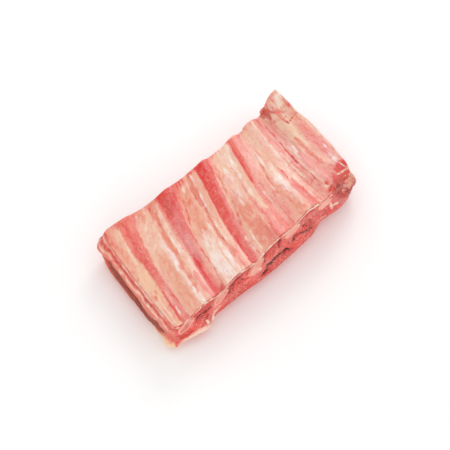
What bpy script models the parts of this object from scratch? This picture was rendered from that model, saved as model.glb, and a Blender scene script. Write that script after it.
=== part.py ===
"""A slab of raw beef chuck short ribs, lying meat side down with its bone side up.

Frame: metres, +Z up. +X runs along the two long saw cuts, across the ribs, and +Y runs from the near saw
cut to the far one. The origin is at the middle of the slab's footprint, on the surface that it lies on.

The slab is modelled on a unit block of cells: u runs along X from the fat-covered left end to the right
end, v runs from the near cut to the far cut, and w runs up from the underside to the bone side.
"""

import math

import bmesh
import bpy

MM = 0.001

# Outline in plan, at the height of the bone side. Curves are (share of the way, value) stops.
NEAR_LEFT_X = -151 * MM
NEAR_RIGHT_X = 135 * MM
FAR_LEFT_X = -124 * MM
FAR_RIGHT_X = 151 * MM
NEAR_EDGE = ((0.0, -67.5 * MM), (0.08, -69.5 * MM), (0.85, -69.5 * MM), (1.0, -64.5 * MM))
FAR_EDGE = ((0.0, 76.5 * MM), (0.3, 69.5 * MM), (0.7, 67.5 * MM), (0.87, 68.5 * MM), (1.0, 77.5 * MM))
SLAB_LENGTH = NEAR_RIGHT_X - NEAR_LEFT_X
SLAB_WIDTH = FAR_EDGE[0][1] - NEAR_EDGE[0][1]
FAR_SCALLOP = 1.0 * MM
RIGHT_END_BOW = ((0.0, 0.0), (0.15, 0.5 * MM), (0.35, 4.5 * MM), (0.6, 6.5 * MM), (0.8, 3.2 * MM), (1.0, 0.0))
RIGHT_END_FROM_U = 0.7

# Corners rounded in plan: the radius, and how many radii along each edge the rounding reaches.
ROUND_CORNERS = {"near_right": 14 * MM, "far_left": 6 * MM, "near_left": 5 * MM}
CORNER_PULL = 1 - math.sqrt(0.5)
CORNER_REACH = 1.3
CORNER_EASE = 1.5

# Height of the bone side above the table.
NEAR_HEIGHTS = ((0.0, 43 * MM), (0.35, 45 * MM), (0.7, 55 * MM), (0.9, 50 * MM), (1.0, 46 * MM))
FAR_HEIGHTS = ((0.0, 42 * MM), (0.5, 45 * MM), (0.85, 47 * MM), (1.0, 50 * MM))
RIB_SAG = 4 * MM
BAY_RISE_NEAR = 6 * MM
BAY_RISE_FAR = -3.5 * MM
CORNER_FLAP_RISE = 6 * MM
CORNER_FLAP_U = (0.86, 0.94)
CORNER_FLAP_V = (0.72, 1.0)
CORNER_DROP = 7 * MM
CORNER_DROP_U = (0.86, 0.98)
CORNER_DROP_V = (0.0, 0.17)

# How far each wall stands out of the outline, by height share, and how its lower part is lobed along it.
WALLS = {
    "near": ((0.0, 0 * MM), (0.2, 7 * MM), (0.75, 1 * MM), (1.0, 0.0)),
    "far": ((0.0, -5 * MM), (0.35, 1 * MM), (0.7, 2 * MM), (1.0, 0.0)),
    "left": ((0.0, 5 * MM), (0.2, 11.5 * MM), (0.45, 5 * MM), (0.7, 9 * MM), (1.0, 0.0)),
    "right": ((0.0, -3 * MM), (0.35, 6 * MM), (0.7, 6 * MM), (1.0, 0.0)),
}
LOBES = {
    "near": ((0.0, -3 * MM), (0.12, 3 * MM), (0.19, -2 * MM), (0.34, 0.0), (0.5, 3 * MM),
             (0.7, 1.5 * MM), (0.79, -5 * MM), (0.9, -2 * MM), (1.0, -2 * MM)),
    "far": ((0.0, 0.0), (1.0, 0.0)),
    "left": ((0.0, -1.5 * MM), (0.08, -3.5 * MM), (0.2, -1.5 * MM), (0.3, 0.0), (0.8, 0.0), (1.0, 5 * MM)),
    "right": ((0.0, 5 * MM), (0.1, 3 * MM), (0.25, 0.0), (1.0, 0.0)),
}
LOBE_FADE_W = (0.2, 0.8)
SIDE_LOBE_FADE_W = (0.65, 1.0)
FAR_LEFT_TUCK = 9 * MM
FAR_LEFT_TUCK_V = (0.8, 1.0)
FAR_LEFT_TUCK_W = (0.25, 0.55)
EDGE_ROUND = 1.5 * MM
CORNER_WALL_SHARE = 0.75
UNDERSIDE_LIFT = 6 * MM
UNDERSIDE_MARGIN = 16 * MM

# Ribs: where each centre line meets the near and the far cut, how far its section is rolled, and how deep
# its crown lies under the bone side.
RIBS = (
    {"near": -139 * MM, "far": -95 * MM, "width": 21 * MM, "depth": 12 * MM, "roll": 14, "cover": 4 * MM},
    {"near": -87 * MM, "far": -38 * MM, "width": 22 * MM, "depth": 13 * MM, "roll": 30, "cover": 2.5 * MM},
    {"near": -32 * MM, "far": 19 * MM, "width": 22 * MM, "depth": 13 * MM, "roll": 30, "cover": 2 * MM},
    {"near": 24 * MM, "far": 68 * MM, "width": 23 * MM, "depth": 12 * MM, "roll": 10, "cover": 1 * MM},
    {"near": 76 * MM, "far": 101 * MM, "width": 22 * MM, "depth": 12 * MM, "roll": -8, "cover": 1 * MM},
    {"near": 117 * MM, "far": 131 * MM, "width": 18 * MM, "depth": 12 * MM, "roll": -12, "cover": 3 * MM},
)
RIB_BOW = 2.0 * MM
RIB_END_REACH = 1.0 * MM
FIT_GAP = 0.35 * MM

# Facets.
CELLS_U, CELLS_V, CELLS_W = 54, 12, 6
RIB_SIDES = 18
RIB_STATIONS = 8
CUTTER_OVERRUN = 8 * MM
SHARP_ANGLE = math.radians(50)


def mix(a, b, t):
    return a + (b - a) * t


def smooth_step(low, high, value):
    t = min(1.0, max(0.0, (value - low) / (high - low)))
    return t * t * (3 - 2 * t)


def along(stops, t):
    """The value at t of a curve through (position, value) stops, eased between them."""
    for (t0, value0), (t1, value1) in zip(stops, stops[1:]):
        if t <= t1:
            return mix(value0, value1, smooth_step(t0, t1, t))
    return stops[-1][1]


def rib_x(rib, v):
    """The centre line of a rib: straight between the two cuts, bowed a little towards -X."""
    return mix(rib["near"], rib["far"], v) - RIB_BOW * math.sin(math.pi * min(1, max(0, v)))


def bay_share(x, v):
    """0 on a rib's centre line and beyond the outer ribs, rising to 1 midway between two ribs."""
    for left, right in zip(RIBS, RIBS[1:]):
        x0, x1 = rib_x(left, v), rib_x(right, v)
        if x0 <= x <= x1:
            return max(0.0, math.sin(math.pi * (x - x0) / (x1 - x0))) ** 1.2
    return 0.0


def plan_point(u, v):
    """Where a cell corner of the bone side lies in plan."""
    near_x = mix(NEAR_LEFT_X, NEAR_RIGHT_X, u)
    far_x = mix(FAR_LEFT_X, FAR_RIGHT_X, u)
    x = mix(near_x, far_x, v) + along(RIGHT_END_BOW, v) * smooth_step(RIGHT_END_FROM_U, 1, u)
    y = mix(along(NEAR_EDGE, u), along(FAR_EDGE, u) - FAR_SCALLOP * bay_share(x, v), v)
    for corner, radius in ROUND_CORNERS.items():
        side_v, side_u = (0 if "near" in corner else 1), (0 if "left" in corner else 1)
        near_u = max(0, 1 - abs(u - side_u) * SLAB_LENGTH / (CORNER_REACH * radius))
        near_v = max(0, 1 - abs(v - side_v) * SLAB_WIDTH / (CORNER_REACH * radius))
        pull = CORNER_PULL * radius * (near_u * near_v) ** CORNER_EASE
        x += pull * (1 if side_u == 0 else -1)
        y += pull * (1 if side_v == 0 else -1)
    return x, y


def bone_side_height(x, u, v):
    """Height of the bone side: the slab's thickness, a sag along the ribs, and the bays between them."""
    height = mix(along(NEAR_HEIGHTS, u), along(FAR_HEIGHTS, u), v) - RIB_SAG * math.sin(math.pi * v)
    height += mix(BAY_RISE_NEAR, BAY_RISE_FAR, smooth_step(0, 1, v)) * bay_share(x, v)
    height += CORNER_FLAP_RISE * smooth_step(*CORNER_FLAP_U, u) * smooth_step(*CORNER_FLAP_V, v)
    height -= CORNER_DROP * smooth_step(*CORNER_DROP_U, u) * (1 - smooth_step(*CORNER_DROP_V, v))
    return height


def edge_distance(u, v):
    """Distance in metres from the nearest side wall, for a point of the unit block."""
    return min(min(u, 1 - u) * SLAB_LENGTH, min(v, 1 - v) * SLAB_WIDTH)


def wall_offset(side, share, w):
    """How far a wall stands out of the plan outline, at a share of the way along it and height share w."""
    fade_w = SIDE_LOBE_FADE_W if side in ("left", "right") else LOBE_FADE_W
    offset = along(WALLS[side], w) + along(LOBES[side], share) * (1 - smooth_step(*fade_w, w))
    if side == "left":
        offset -= FAR_LEFT_TUCK * smooth_step(*FAR_LEFT_TUCK_V, share) * (1 - smooth_step(*FAR_LEFT_TUCK_W, w))
    return offset - (EDGE_ROUND if w == 1 else 0)


def slab_point(u, v, w):
    """Carries a corner of the unit block to its place on the slab."""
    x, y = plan_point(u, v)
    top = bone_side_height(x, u, v)
    rim = max(0.0, 1 - edge_distance(u, v) / UNDERSIDE_MARGIN)
    z = mix(UNDERSIDE_LIFT * rim * rim, top, w)
    side_x = {0: "left", 1: "right"}.get(u)
    side_y = {0: "near", 1: "far"}.get(v)
    corner_share = CORNER_WALL_SHARE if side_x and side_y else 1.0
    if side_x:
        x += wall_offset(side_x, v, w) * corner_share * (-1 if side_x == "left" else 1)
    if side_y:
        y += wall_offset(side_y, u, w) * corner_share * (-1 if side_y == "near" else 1)
    if w == 1 and (side_x or side_y):
        z -= EDGE_ROUND
    return x, y, z


def unit_block():
    """A closed block of CELLS_U by CELLS_V by CELLS_W cells: a grid, extruded upwards one row at a time."""
    mesh = bmesh.new()
    bmesh.ops.create_grid(mesh, x_segments=CELLS_U, y_segments=CELLS_V, size=0.5)
    for vertex in mesh.verts:
        vertex.co = (vertex.co.x + 0.5, vertex.co.y + 0.5, 0)
    bmesh.ops.reverse_faces(mesh, faces=mesh.faces)
    layer = list(mesh.faces)
    for row in range(CELLS_W):
        made = bmesh.ops.extrude_face_region(mesh, geom=layer, use_keep_orig=(row == 0))
        lifted = [item for item in made["geom"] if isinstance(item, bmesh.types.BMVert)]
        for vertex in lifted:
            vertex.co.z = (row + 1) / CELLS_W
        if row:
            spent = [face for face in layer if face.is_valid]
            bmesh.ops.delete(mesh, geom=spent, context="FACES_KEEP_BOUNDARY")
        layer = [item for item in made["geom"] if isinstance(item, bmesh.types.BMFace)]
    bmesh.ops.recalc_face_normals(mesh, faces=mesh.faces)
    return mesh


def material(name, colour, roughness):
    made = bpy.data.materials.new(name)
    made.use_nodes = True
    shader = made.node_tree.nodes["Principled BSDF"]
    shader.inputs["Base Color"].default_value = (*colour, 1)
    shader.inputs["Roughness"].default_value = roughness
    shader.inputs["Metallic"].default_value = 0
    return made


def add_object(name, bm, surface):
    mesh = bpy.data.meshes.new(name)
    bm.to_mesh(mesh)
    bm.free()
    mesh.materials.append(surface)
    mesh.shade_smooth()
    mesh.set_sharp_from_angle(angle=SHARP_ANGLE)
    thing = bpy.data.objects.new(name, mesh)
    bpy.context.scene.collection.objects.link(thing)
    return thing


def share_along_slab(x, v):
    """The u of a point of the bone side, held within the slab."""
    left = mix(NEAR_LEFT_X, FAR_LEFT_X, v)
    right = mix(NEAR_RIGHT_X, FAR_RIGHT_X, v)
    return min(1.0, max(0.0, (x - left) / (right - left)))


def rib_solid(rib, grow, overrun):
    """A rib bone: an oval section, square to +Y so that its ends lie in the saw cuts, swept along the rib.

    A cutter is the same sweep, grown by the fitting gap and with an extra ring beyond each end.
    """
    bm = bmesh.new()
    half_width = rib["width"] / 2 + grow
    half_depth = rib["depth"] / 2 + grow
    roll = math.radians(rib["roll"])
    crown = math.hypot(rib["width"] / 2 * math.sin(roll), rib["depth"] / 2 * math.cos(roll))
    near_y = along(NEAR_EDGE, share_along_slab(rib["near"], 0)) - RIB_END_REACH
    far_y = along(FAR_EDGE, share_along_slab(rib["far"], 1)) + RIB_END_REACH
    shares = [step / RIB_STATIONS for step in range(RIB_STATIONS + 1)]
    stations = [(mix(near_y, far_y, share), share) for share in shares]
    if overrun:
        stations = [(near_y - overrun, 0.0), *stations, (far_y + overrun, 1.0)]
    rings = []
    for y, v in stations:
        centre_x = rib_x(rib, v)
        centre_z = bone_side_height(centre_x, share_along_slab(centre_x, v), v) - rib["cover"] - crown
        ring = []
        for side in range(RIB_SIDES):
            turn = 2 * math.pi * side / RIB_SIDES
            across, up = half_width * math.cos(turn), half_depth * math.sin(turn)
            x = centre_x + across * math.cos(roll) - up * math.sin(roll)
            z = centre_z + across * math.sin(roll) + up * math.cos(roll)
            ring.append(bm.verts.new((x, y, z)))
        rings.append(ring)
    for ring, following in zip(rings, rings[1:]):
        for side in range(RIB_SIDES):
            after = (side + 1) % RIB_SIDES
            bm.faces.new((ring[side], ring[after], following[after], following[side]))
    bm.faces.new(rings[0])
    bm.faces.new(reversed(rings[-1]))
    bmesh.ops.recalc_face_normals(bm, faces=bm.faces)
    return bm


def build():
    for thing in list(bpy.data.objects):
        bpy.data.objects.remove(thing)

    muscle = material("raw muscle and fat", (0.60, 0.17, 0.14), 0.45)
    bone = material("fresh rib bone", (0.80, 0.40, 0.33), 0.4)

    block = unit_block()
    for vertex in block.verts:
        vertex.co = slab_point(*(round(value, 6) for value in vertex.co))
    meat = add_object("meat", block, muscle)

    for number, rib in enumerate(RIBS, start=1):
        add_object(f"rib_bone_{number}", rib_solid(rib, 0, 0), bone)
        cutter = add_object(f"cutter_{number}", rib_solid(rib, FIT_GAP, CUTTER_OVERRUN), bone)
        cutter.hide_render = True
        cutter.display_type = "WIRE"
        cut = meat.modifiers.new(f"seat of rib {number}", "BOOLEAN")
        cut.operation = "DIFFERENCE"
        cut.object = cutter


build()
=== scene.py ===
import math
import bpy
import numpy as np
from mathutils import Matrix, Vector


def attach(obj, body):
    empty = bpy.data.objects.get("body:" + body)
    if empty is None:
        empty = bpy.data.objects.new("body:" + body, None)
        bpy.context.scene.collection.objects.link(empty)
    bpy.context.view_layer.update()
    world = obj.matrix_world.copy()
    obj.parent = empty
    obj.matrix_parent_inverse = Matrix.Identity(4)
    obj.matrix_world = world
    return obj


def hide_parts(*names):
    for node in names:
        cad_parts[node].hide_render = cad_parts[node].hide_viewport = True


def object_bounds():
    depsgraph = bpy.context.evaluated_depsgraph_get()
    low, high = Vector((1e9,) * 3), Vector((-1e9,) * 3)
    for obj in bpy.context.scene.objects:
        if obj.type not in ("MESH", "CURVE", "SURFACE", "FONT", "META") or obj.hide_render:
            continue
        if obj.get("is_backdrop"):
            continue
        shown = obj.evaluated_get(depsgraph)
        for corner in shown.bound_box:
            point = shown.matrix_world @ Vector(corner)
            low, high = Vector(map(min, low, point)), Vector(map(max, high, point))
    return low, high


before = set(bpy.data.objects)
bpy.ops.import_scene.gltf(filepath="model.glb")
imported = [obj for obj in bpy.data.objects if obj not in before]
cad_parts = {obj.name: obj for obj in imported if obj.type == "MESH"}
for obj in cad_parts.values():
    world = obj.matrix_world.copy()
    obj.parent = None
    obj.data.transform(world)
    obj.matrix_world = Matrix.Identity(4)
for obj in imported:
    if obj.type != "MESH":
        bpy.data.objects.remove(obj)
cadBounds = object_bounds()
print("frame loaded:", sorted(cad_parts))

mm = 0.001
ribCount = 6


def smooth(low, high, value):  # 0 below low, 1 above high, eased between them
    t = np.clip((np.asarray(value, float) - low) / (high - low), 0, 1)
    return t * t * (3 - 2 * t)


def pairs(text):  # "0,5 1,7" as [(0, 5), (1, 7)]
    return [tuple(float(number) for number in word.split(",")) for word in text.split()]


def eased(curve, t):  # a curve through position,value stops, eased from each stop to the next
    places, values = np.array(pairs(curve)).T
    t = np.clip(np.asarray(t, float), places[0], places[-1])
    i = np.clip(np.searchsorted(places, t, side="right") - 1, 0, len(places) - 2)
    k = np.clip((t - places[i]) / (places[i + 1] - places[i]), 0, 1)
    return values[i] + (values[i + 1] - values[i]) * k * k * (3 - 2 * k)


def noise(a, b, seed):  # random numbers on a unit lattice, eased between its corners, from -1 to 1
    table = np.random.default_rng(seed).uniform(-1, 1, (256, 256))
    ia, ib = np.floor(a).astype(int), np.floor(b).astype(int)
    fa, fb = a - ia, b - ib
    fa, fb = fa * fa * (3 - 2 * fa), fb * fb * (3 - 2 * fb)
    corner = lambda i, j: table[(ia + i) % 256, (ib + j) % 256]
    low = corner(0, 0) * (1 - fa) + corner(1, 0) * fa
    high = corner(0, 1) * (1 - fa) + corner(1, 1) * fa
    return low * (1 - fb) + high * fb


def rough(a, b, seed, octaves=3):  # noise with ever finer and weaker copies added
    total = sum(noise(a * 2.1 ** n, b * 2.1 ** n, seed + n) * 0.5 ** n for n in range(octaves))
    return total / sum(0.5 ** n for n in range(octaves))


def lumpy(a, b, sizeA, sizeB, seed, octaves=3):  # noise over places in metres, its lumps sized in mm
    return rough(a / (sizeA * mm), b / (sizeB * mm), seed, octaves)


def linear(colour):  # a 0-255 screen colour as the linear values that a shader takes
    c = np.array(colour, float) / 255
    return np.where(c <= 0.04045, c / 12.92, ((c + 0.055) / 1.055) ** 2.4)


def mixed(under, colour, share):  # one colour over another, by each point's share of it
    return under * (1 - share[..., None]) + colour * share[..., None]


# Painted light among these colours: gloss is the near-white of painted highlights and glints on the wet
# membrane, and also of small white flecks of fat; umber and bark paint shade and shadow in creases,
# crevices and under the flap; walnut is a brown that also paints shade on the rounded near ends of the
# bones; gap paints the near-black shade inside the sunk crevices between muscles.
palette = {name: linear(colour) for name, colour in {
    "cream": (241, 200, 174), "ivory": (251, 224, 204), "butter": (243, 203, 166),
    "tan": (228, 162, 134), "amber": (228, 148, 118), "fawn": (222, 146, 122),
    "gloss": (255, 243, 236), "ash": (232, 178, 162), "dusk": (222, 146, 132),
    "boneRed": (211, 74, 66), "boneRose": (224, 116, 108), "plum": (213, 124, 121),
    "maroon": (172, 60, 54), "crimson": (200, 36, 28), "rose": (238, 126, 112),
    "shell": (245, 178, 160), "walnut": (176, 92, 80), "salmon": (232, 136, 116),
    "pink": (236, 146, 136), "petal": (241, 182, 166), "mauve": (226, 170, 164),
    "blood": (206, 76, 62), "vein": (196, 66, 60), "ember": (220, 108, 84),
    "muscle": (242, 92, 82), "coral": (246, 134, 122), "ruby": (208, 58, 50),
    "gap": (84, 22, 18), "rust": (190, 50, 30), "clay": (224, 142, 118),
    "suet": (248, 206, 184), "sidePink": (228, 132, 112), "umber": (186, 112, 94),
    "bark": (144, 36, 20), "sideTan": (226, 134, 108), "cocoa": (158, 78, 62),
    "cortex": (250, 190, 168), "marrow": (222, 108, 96), "marrowPale": (242, 156, 140),
    "marrowDeep": (190, 72, 64),
}.items()}
fatColours = {"cream", "ivory", "butter", "suet", "petal", "gloss", "sidePink", "sideTan", "cocoa"}

# The slab's own shape, as in the CAD.
slab = {
    "nearX": (-151 * mm, 135 * mm),          # left and right ends of the near saw cut
    "farX": (-124 * mm, 151 * mm),
    "nearEdge": "0,-67.5 .08,-69.5 .85,-69.5 1,-64.5",
    "farEdge": "0,76.5 .3,69.5 .7,67.5 .87,68.5 1,77.5",
    "nearHeight": "0,43 .35,45 .7,55 .9,50 1,46",
    "farHeight": "0,42 .5,45 .85,47 1,50",
    "sag": 4 * mm,                           # the middle of the ribs lies this much lower
    "bayNear": 6 * mm, "bayFar": -3.5 * mm,  # how the bays between the ribs arch or sink
    "flapRise": 6 * mm,
    "endBow": "0,0 .15,.5 .35,4.5 .6,6.5 .8,3.2 1,0",
    "cornerDrop": 7 * mm,                    # the near right corner falls away
    "corners": ((1, 0, 14 * mm), (0, 1, 6 * mm), (0, 0, 5 * mm)),
    "turn": 10 * mm,                         # the walls turn round a corner over this much of each side
    "pitchLeft": 52 * mm, "pitchRight": 35 * mm,   # spacing that rib shares keep beyond the outer ribs
}
slabLength = slab["nearX"][1] - slab["nearX"][0]
slabWidth = (eased(slab["farEdge"], 0) - eased(slab["nearEdge"], 0)) * mm


def ribRings(number):  # the CAD bone's rings: y, centre x and z, half width, half depth and roll of each
    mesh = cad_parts[f"rib_bone_{number}"].data
    co = np.empty(len(mesh.vertices) * 3, np.float32)
    mesh.vertices.foreach_get("co", co)
    co = np.unique(np.round(co.reshape(-1, 3).astype(float), 5), axis=0)
    rows = []
    for y in np.unique(np.round(co[:, 1], 4)):
        ring = co[np.abs(co[:, 1] - y) < 0.2 * mm]
        if len(ring) < 12:
            continue
        flat = ring[:, (0, 2)]
        centre = (flat.max(0) + flat.min(0)) / 2
        spread, axes = np.linalg.eigh(np.cov((flat - centre).T, bias=True))
        along = axes[:, 1] * np.sign(axes[0, 1])
        rows.append((y, centre[0], centre[1], *np.sqrt(2 * spread[::-1]), math.atan2(along[1], along[0])))
    return np.array(rows)


ribs = [ribRings(number) for number in range(1, ribCount + 1)]


def ribSection(rib, y):  # a bone's section at y: centre x, centre z, half width, half depth and roll
    return [np.interp(y, rib[:, 0], rib[:, n]) for n in range(1, 6)]


def ribShare(x, y):  # which rib a point is over: 1 on the first rib's line, 1.5 midway to the second
    lines = [ribSection(rib, y)[0] for rib in ribs]
    share = 1 + np.minimum(0, (x - lines[0]) / slab["pitchLeft"])
    share = share + np.maximum(0, (x - lines[-1]) / slab["pitchRight"])
    for left, right in zip(lines, lines[1:]):
        share = share + np.clip((x - left) / (right - left), 0, 1)
    return share


def ribPitch(share, y):  # metres from one rib line to the next, eased from bay to bay
    lines = [ribSection(rib, y)[0] for rib in ribs]
    gaps = [right - left for left, right in zip(lines, lines[1:])]
    pitch = gaps[0]
    for number, (gap, following) in enumerate(zip(gaps, gaps[1:]), start=2):
        pitch = pitch + (following - gap) * smooth(number - 0.4, number + 0.4, share)
    return pitch


def planPoint(u, v):  # where a point of the unit square lies in plan
    x = (1 - v) * (slab["nearX"][0] + slabLength * u)
    x = x + v * (slab["farX"][0] + (slab["farX"][1] - slab["farX"][0]) * u)
    x = x + eased(slab["endBow"], v) * mm * smooth(0.7, 1, u)
    y = ((1 - v) * eased(slab["nearEdge"], u) + v * eased(slab["farEdge"], u)) * mm
    for cornerU, cornerV, radius in slab["corners"]:
        nearU = np.maximum(0, 1 - np.abs(u - cornerU) * slabLength / (1.3 * radius))
        nearV = np.maximum(0, 1 - np.abs(v - cornerV) * slabWidth / (1.3 * radius))
        pull = 0.293 * radius * (nearU * nearV) ** 1.5
        x = x + pull * (1 - 2 * cornerU)
        y = y + pull * (1 - 2 * cornerV)
    return x, y


def slabHeight(x, y, u, v):  # thickness less the sag along the ribs, with the bays arched or sunk
    height = ((1 - v) * eased(slab["nearHeight"], u) + v * eased(slab["farHeight"], u)) * mm
    height = height - slab["sag"] * np.sin(math.pi * np.clip(v, 0, 1))
    share = ribShare(x, y)
    within = (share > 1) & (share < ribCount)
    bay = np.where(within, np.abs(np.sin(math.pi * share)), 0) ** 1.2
    height = height + (slab["bayNear"] + (slab["bayFar"] - slab["bayNear"]) * smooth(0, 1, v)) * bay
    height = height - slab["cornerDrop"] * smooth(0.86, 0.98, u) * (1 - smooth(0, 0.17, v))
    return height + slab["flapRise"] * smooth(0.86, 0.94, u) * smooth(0.72, 1, v)


def nearness(u, v):  # to the left or right side, and to the near or far one: 1 on it, 0 past the turn
    kx = 1 - smooth(0, slab["turn"], np.minimum(u, 1 - u) * slabLength)
    ky = 1 - smooth(0, slab["turn"], np.minimum(v, 1 - v) * slabWidth)
    return kx, ky


def outward(u, v):  # which way the side walls face, turning round the corners
    kx, ky = nearness(u, v)
    reach = np.hypot(kx, ky) + 1e-9
    return np.sign(u - 0.5) * kx / reach, np.sign(v - 0.5) * ky / reach


def streakMask(a, b, perA, perB, path, width, soft, tear):
    # 1 on a line of (a, b) points, 0 past its half width; perA and perB are metres for one unit of a and b
    ends = np.array(path)
    spanA, spanB = np.ptp(ends[:, 0]) * np.mean(perA), np.ptp(ends[:, 1]) * np.mean(perB)
    along = int(spanB >= spanA)
    run, across, perRun, perAcross = (b, a, perB, perA) if along else (a, b, perA, perB)
    ends = ends[np.argsort(ends[:, along])]
    stations = ends[:, along]
    centre = np.interp(run, stations, ends[:, 1 - along])
    off = np.abs(across - centre) * perAcross + tear * min(0.5 * width, 1.5 * mm)
    past = np.maximum(stations[0] - run, run - stations[-1]) * perRun
    taper = np.clip(0.5 - past / (2 * width + 1e-9), 0, 1)
    half = width / 2 * np.sqrt(taper)
    return (1 - smooth(half * (1 - soft), half * (1 + soft) + 1e-6, off)) * (taper > 0)


def patchMask(a, b, perA, perB, place, radii, soft, tear):  # 1 inside an oval, fading out at its edge
    reach = np.hypot((a - place[0]) * perA / radii[0], (b - place[1]) * perB / radii[1])
    reach = reach + tear * min(0.7, 2.5 * mm / min(radii))
    return 1 - smooth(1 - soft, 1 + soft, reach)


def strokeRows(text):
    # Each line is a stroke: colour, width in mm (or an oval's two radii), strength, softness (0.7 if left
    # out) and relief in mm (0 if left out), and after two spaces the points of its path
    strokes = []
    for row in text.strip().split("\n"):
        look, path = row.split("  ")
        colour, width, *numbers = look.split()
        strength, soft, relief = [float(number) for number in numbers] + [0.7, 0][len(numbers) - 1:]
        width = np.squeeze([float(number) for number in width.split("x")])
        strokes.append((pairs(path), width, colour, strength, relief, soft))
    return strokes


def layStrokes(strokes, a, b, perA, perB, tint, height, fat, tearScale, seed):
    # A stroke is (path, width in mm, colour, strength, relief in mm, softness); a path of one point is an
    # oval with its two radii for a width. Colours are mixed in one over the other, and reliefs added up.
    # Edges are torn, and the colour comes and goes, over tearScale: metres along a and along b.
    runA, runB = a * np.mean(perA) / tearScale[0], b * np.mean(perB) / tearScale[1]
    for number, (path, width, colour, strength, relief, soft) in enumerate(strokes):
        tear = rough(runA, runB, seed + 3 * number, 2)
        makeMask, place = (patchMask, path[0]) if len(path) == 1 else (streakMask, path)
        mask = makeMask(a, b, perA, perB, place, np.multiply(width, mm), soft, tear)
        evenness = 1.7 if strength >= 0.95 else 0.9
        k = np.minimum(1, mask * strength * np.clip(evenness - 0.9 * tear, 0, 1.05 / max(strength, 0.6)))
        tint[:] = mixed(tint, palette[colour], k)
        height += mask * relief * mm
        fat += k * ((colour in fatColours) - fat)


# A closed shell is a ring of points round the unit square, carried down in rows, with a grid of points
# across its top and another across its bottom. A grid row joins the ring at every so many of its points.
def squareRing(columns, rows):  # the ring's u and v: along the near side, up the right, back, down the left
    across, up = np.arange(columns) / columns, np.arange(rows) / rows
    u = np.concatenate([across, np.ones(rows), 1 - across, np.zeros(rows)])
    v = np.concatenate([np.zeros(columns), up, np.ones(columns), 1 - up])
    return u, v


def capIndex(columns, rows, step, ringStart, innerStart):  # point numbers of a grid with a ring round it
    bands = rows // step
    index = np.empty((bands + 1, columns + 1), int)
    index[1:-1, 1:-1] = innerStart + np.arange((bands - 1) * (columns - 1)).reshape(bands - 1, columns - 1)
    level = np.arange(bands + 1) * step
    index[0, :] = ringStart + np.arange(columns + 1)
    index[-1, :] = ringStart + 2 * columns + rows - np.arange(columns + 1)
    index[:, -1] = ringStart + columns + level
    index[:, 0] = ringStart + (2 * (columns + rows) - level) % (2 * (columns + rows))
    return index


def capFaces(columns, rows, step, ringStart, innerStart, facesUp):
    index = capIndex(columns, rows, step, ringStart, innerStart)
    first, last = (0, columns) if step == 1 else (1, columns - 1)
    corners = [index[:-1, first:last], index[:-1, first + 1:last + 1],
               index[1:, first + 1:last + 1], index[1:, first:last]]
    faces = np.stack(corners, -1).reshape(-1, 4).tolist()
    if step > 1:  # the end faces take in all of the ring's points between two grid rows
        around = 2 * (columns + rows)
        for band in range(rows // step):
            up = [band * step + n for n in range(step + 1)]
            right = [ringStart + columns + n for n in up]
            left = [ringStart + (around - n) % around for n in reversed(up)]
            faces.append([index[band, -2], *right, index[band + 1, -2]])
            faces.append([index[band + 1, 1], *left, index[band, 1]])
    return faces if facesUp else [face[::-1] for face in faces]


def innerGrid(columns, rows, step):  # u and v of a grid's own points, inside the ring
    return np.meshgrid(np.arange(1, columns) / columns, np.arange(step, rows, step) / rows)


def shellFaces(columns, rows, ringRows, topStep, bottomStep):
    around = 2 * (columns + rows)
    k, following = np.arange(around), (np.arange(around) + 1) % around
    faces = []
    for row in range(ringRows - 1):
        upper, lower = row * around, (row + 1) * around
        faces += np.stack([upper + k, lower + k, lower + following, upper + following], -1).tolist()
    topStart = ringRows * around
    bottomStart = topStart + (rows // topStep - 1) * (columns - 1)
    faces += capFaces(columns, rows, topStep, 0, topStart, True)
    faces += capFaces(columns, rows, bottomStep, (ringRows - 1) * around, bottomStart, False)
    return faces


def tubeFaces(rings, around):  # rings of points from one pole to the other, each pole a single point
    k, following = np.arange(around), (np.arange(around) + 1) % around
    faces = np.stack([np.zeros(around, int), 1 + following, 1 + k], -1).tolist()
    for ring in range(rings - 1):
        near, far = 1 + ring * around, 1 + (ring + 1) * around
        faces += np.stack([near + k, near + following, far + following, far + k], -1).tolist()
    last = 1 + (rings - 1) * around
    faces += np.stack([last + k, last + following, np.full(around, last + around)], -1).tolist()
    return faces


def joined(layers):  # each kind of value, a row to a point, through all the layers of points in order
    return [np.concatenate([value.reshape(layer[0].size // 3, -1) for value, layer in zip(kind, layers)])
            for kind in zip(*layers)]


def addPiece(name, points, faces, tint, masks, flow, material, slot, *nodes):
    # flow is each point's place in metres across and along the ribs, kept as the piece's UV map
    mesh = bpy.data.meshes.new(name)
    mesh.from_pydata(points.tolist(), [], faces)
    mesh.shade_smooth()
    colours = mesh.attributes.new("tint", "FLOAT_COLOR", "POINT")
    colours.data.foreach_set("color", np.c_[tint, np.ones(len(tint))].astype(np.float32).ravel())
    for maskName, values in masks.items():
        layer = mesh.attributes.new(maskName, "FLOAT", "POINT")
        layer.data.foreach_set("value", np.asarray(values, np.float32).ravel())
    corner = np.empty(len(mesh.loops), np.int32)
    mesh.loops.foreach_get("vertex_index", corner)
    mesh.uv_layers.new(name="flow").data.foreach_set("uv", flow[corner].astype(np.float32).ravel())
    mesh.materials.append(material)
    mesh.validate()
    mesh.update()
    piece = bpy.data.objects.new(name, mesh)
    bpy.context.scene.collection.objects.link(piece)
    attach(piece, "root")
    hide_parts(*nodes)
    print(name, len(mesh.polygons), "faces")


def feed(tree, node, inputs):  # gives a node's inputs their values, or joins them to other nodes
    for name, value in inputs.items():
        if isinstance(value, bpy.types.NodeSocket):
            tree.links.new(value, node.inputs[name])
        else:
            node.inputs[name].default_value = value


def addNode(tree, kind, inputs, **settings):
    node = tree.nodes.new(kind)
    for name, value in settings.items():
        setattr(node, name, value)
    feed(tree, node, inputs)
    return node


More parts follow.
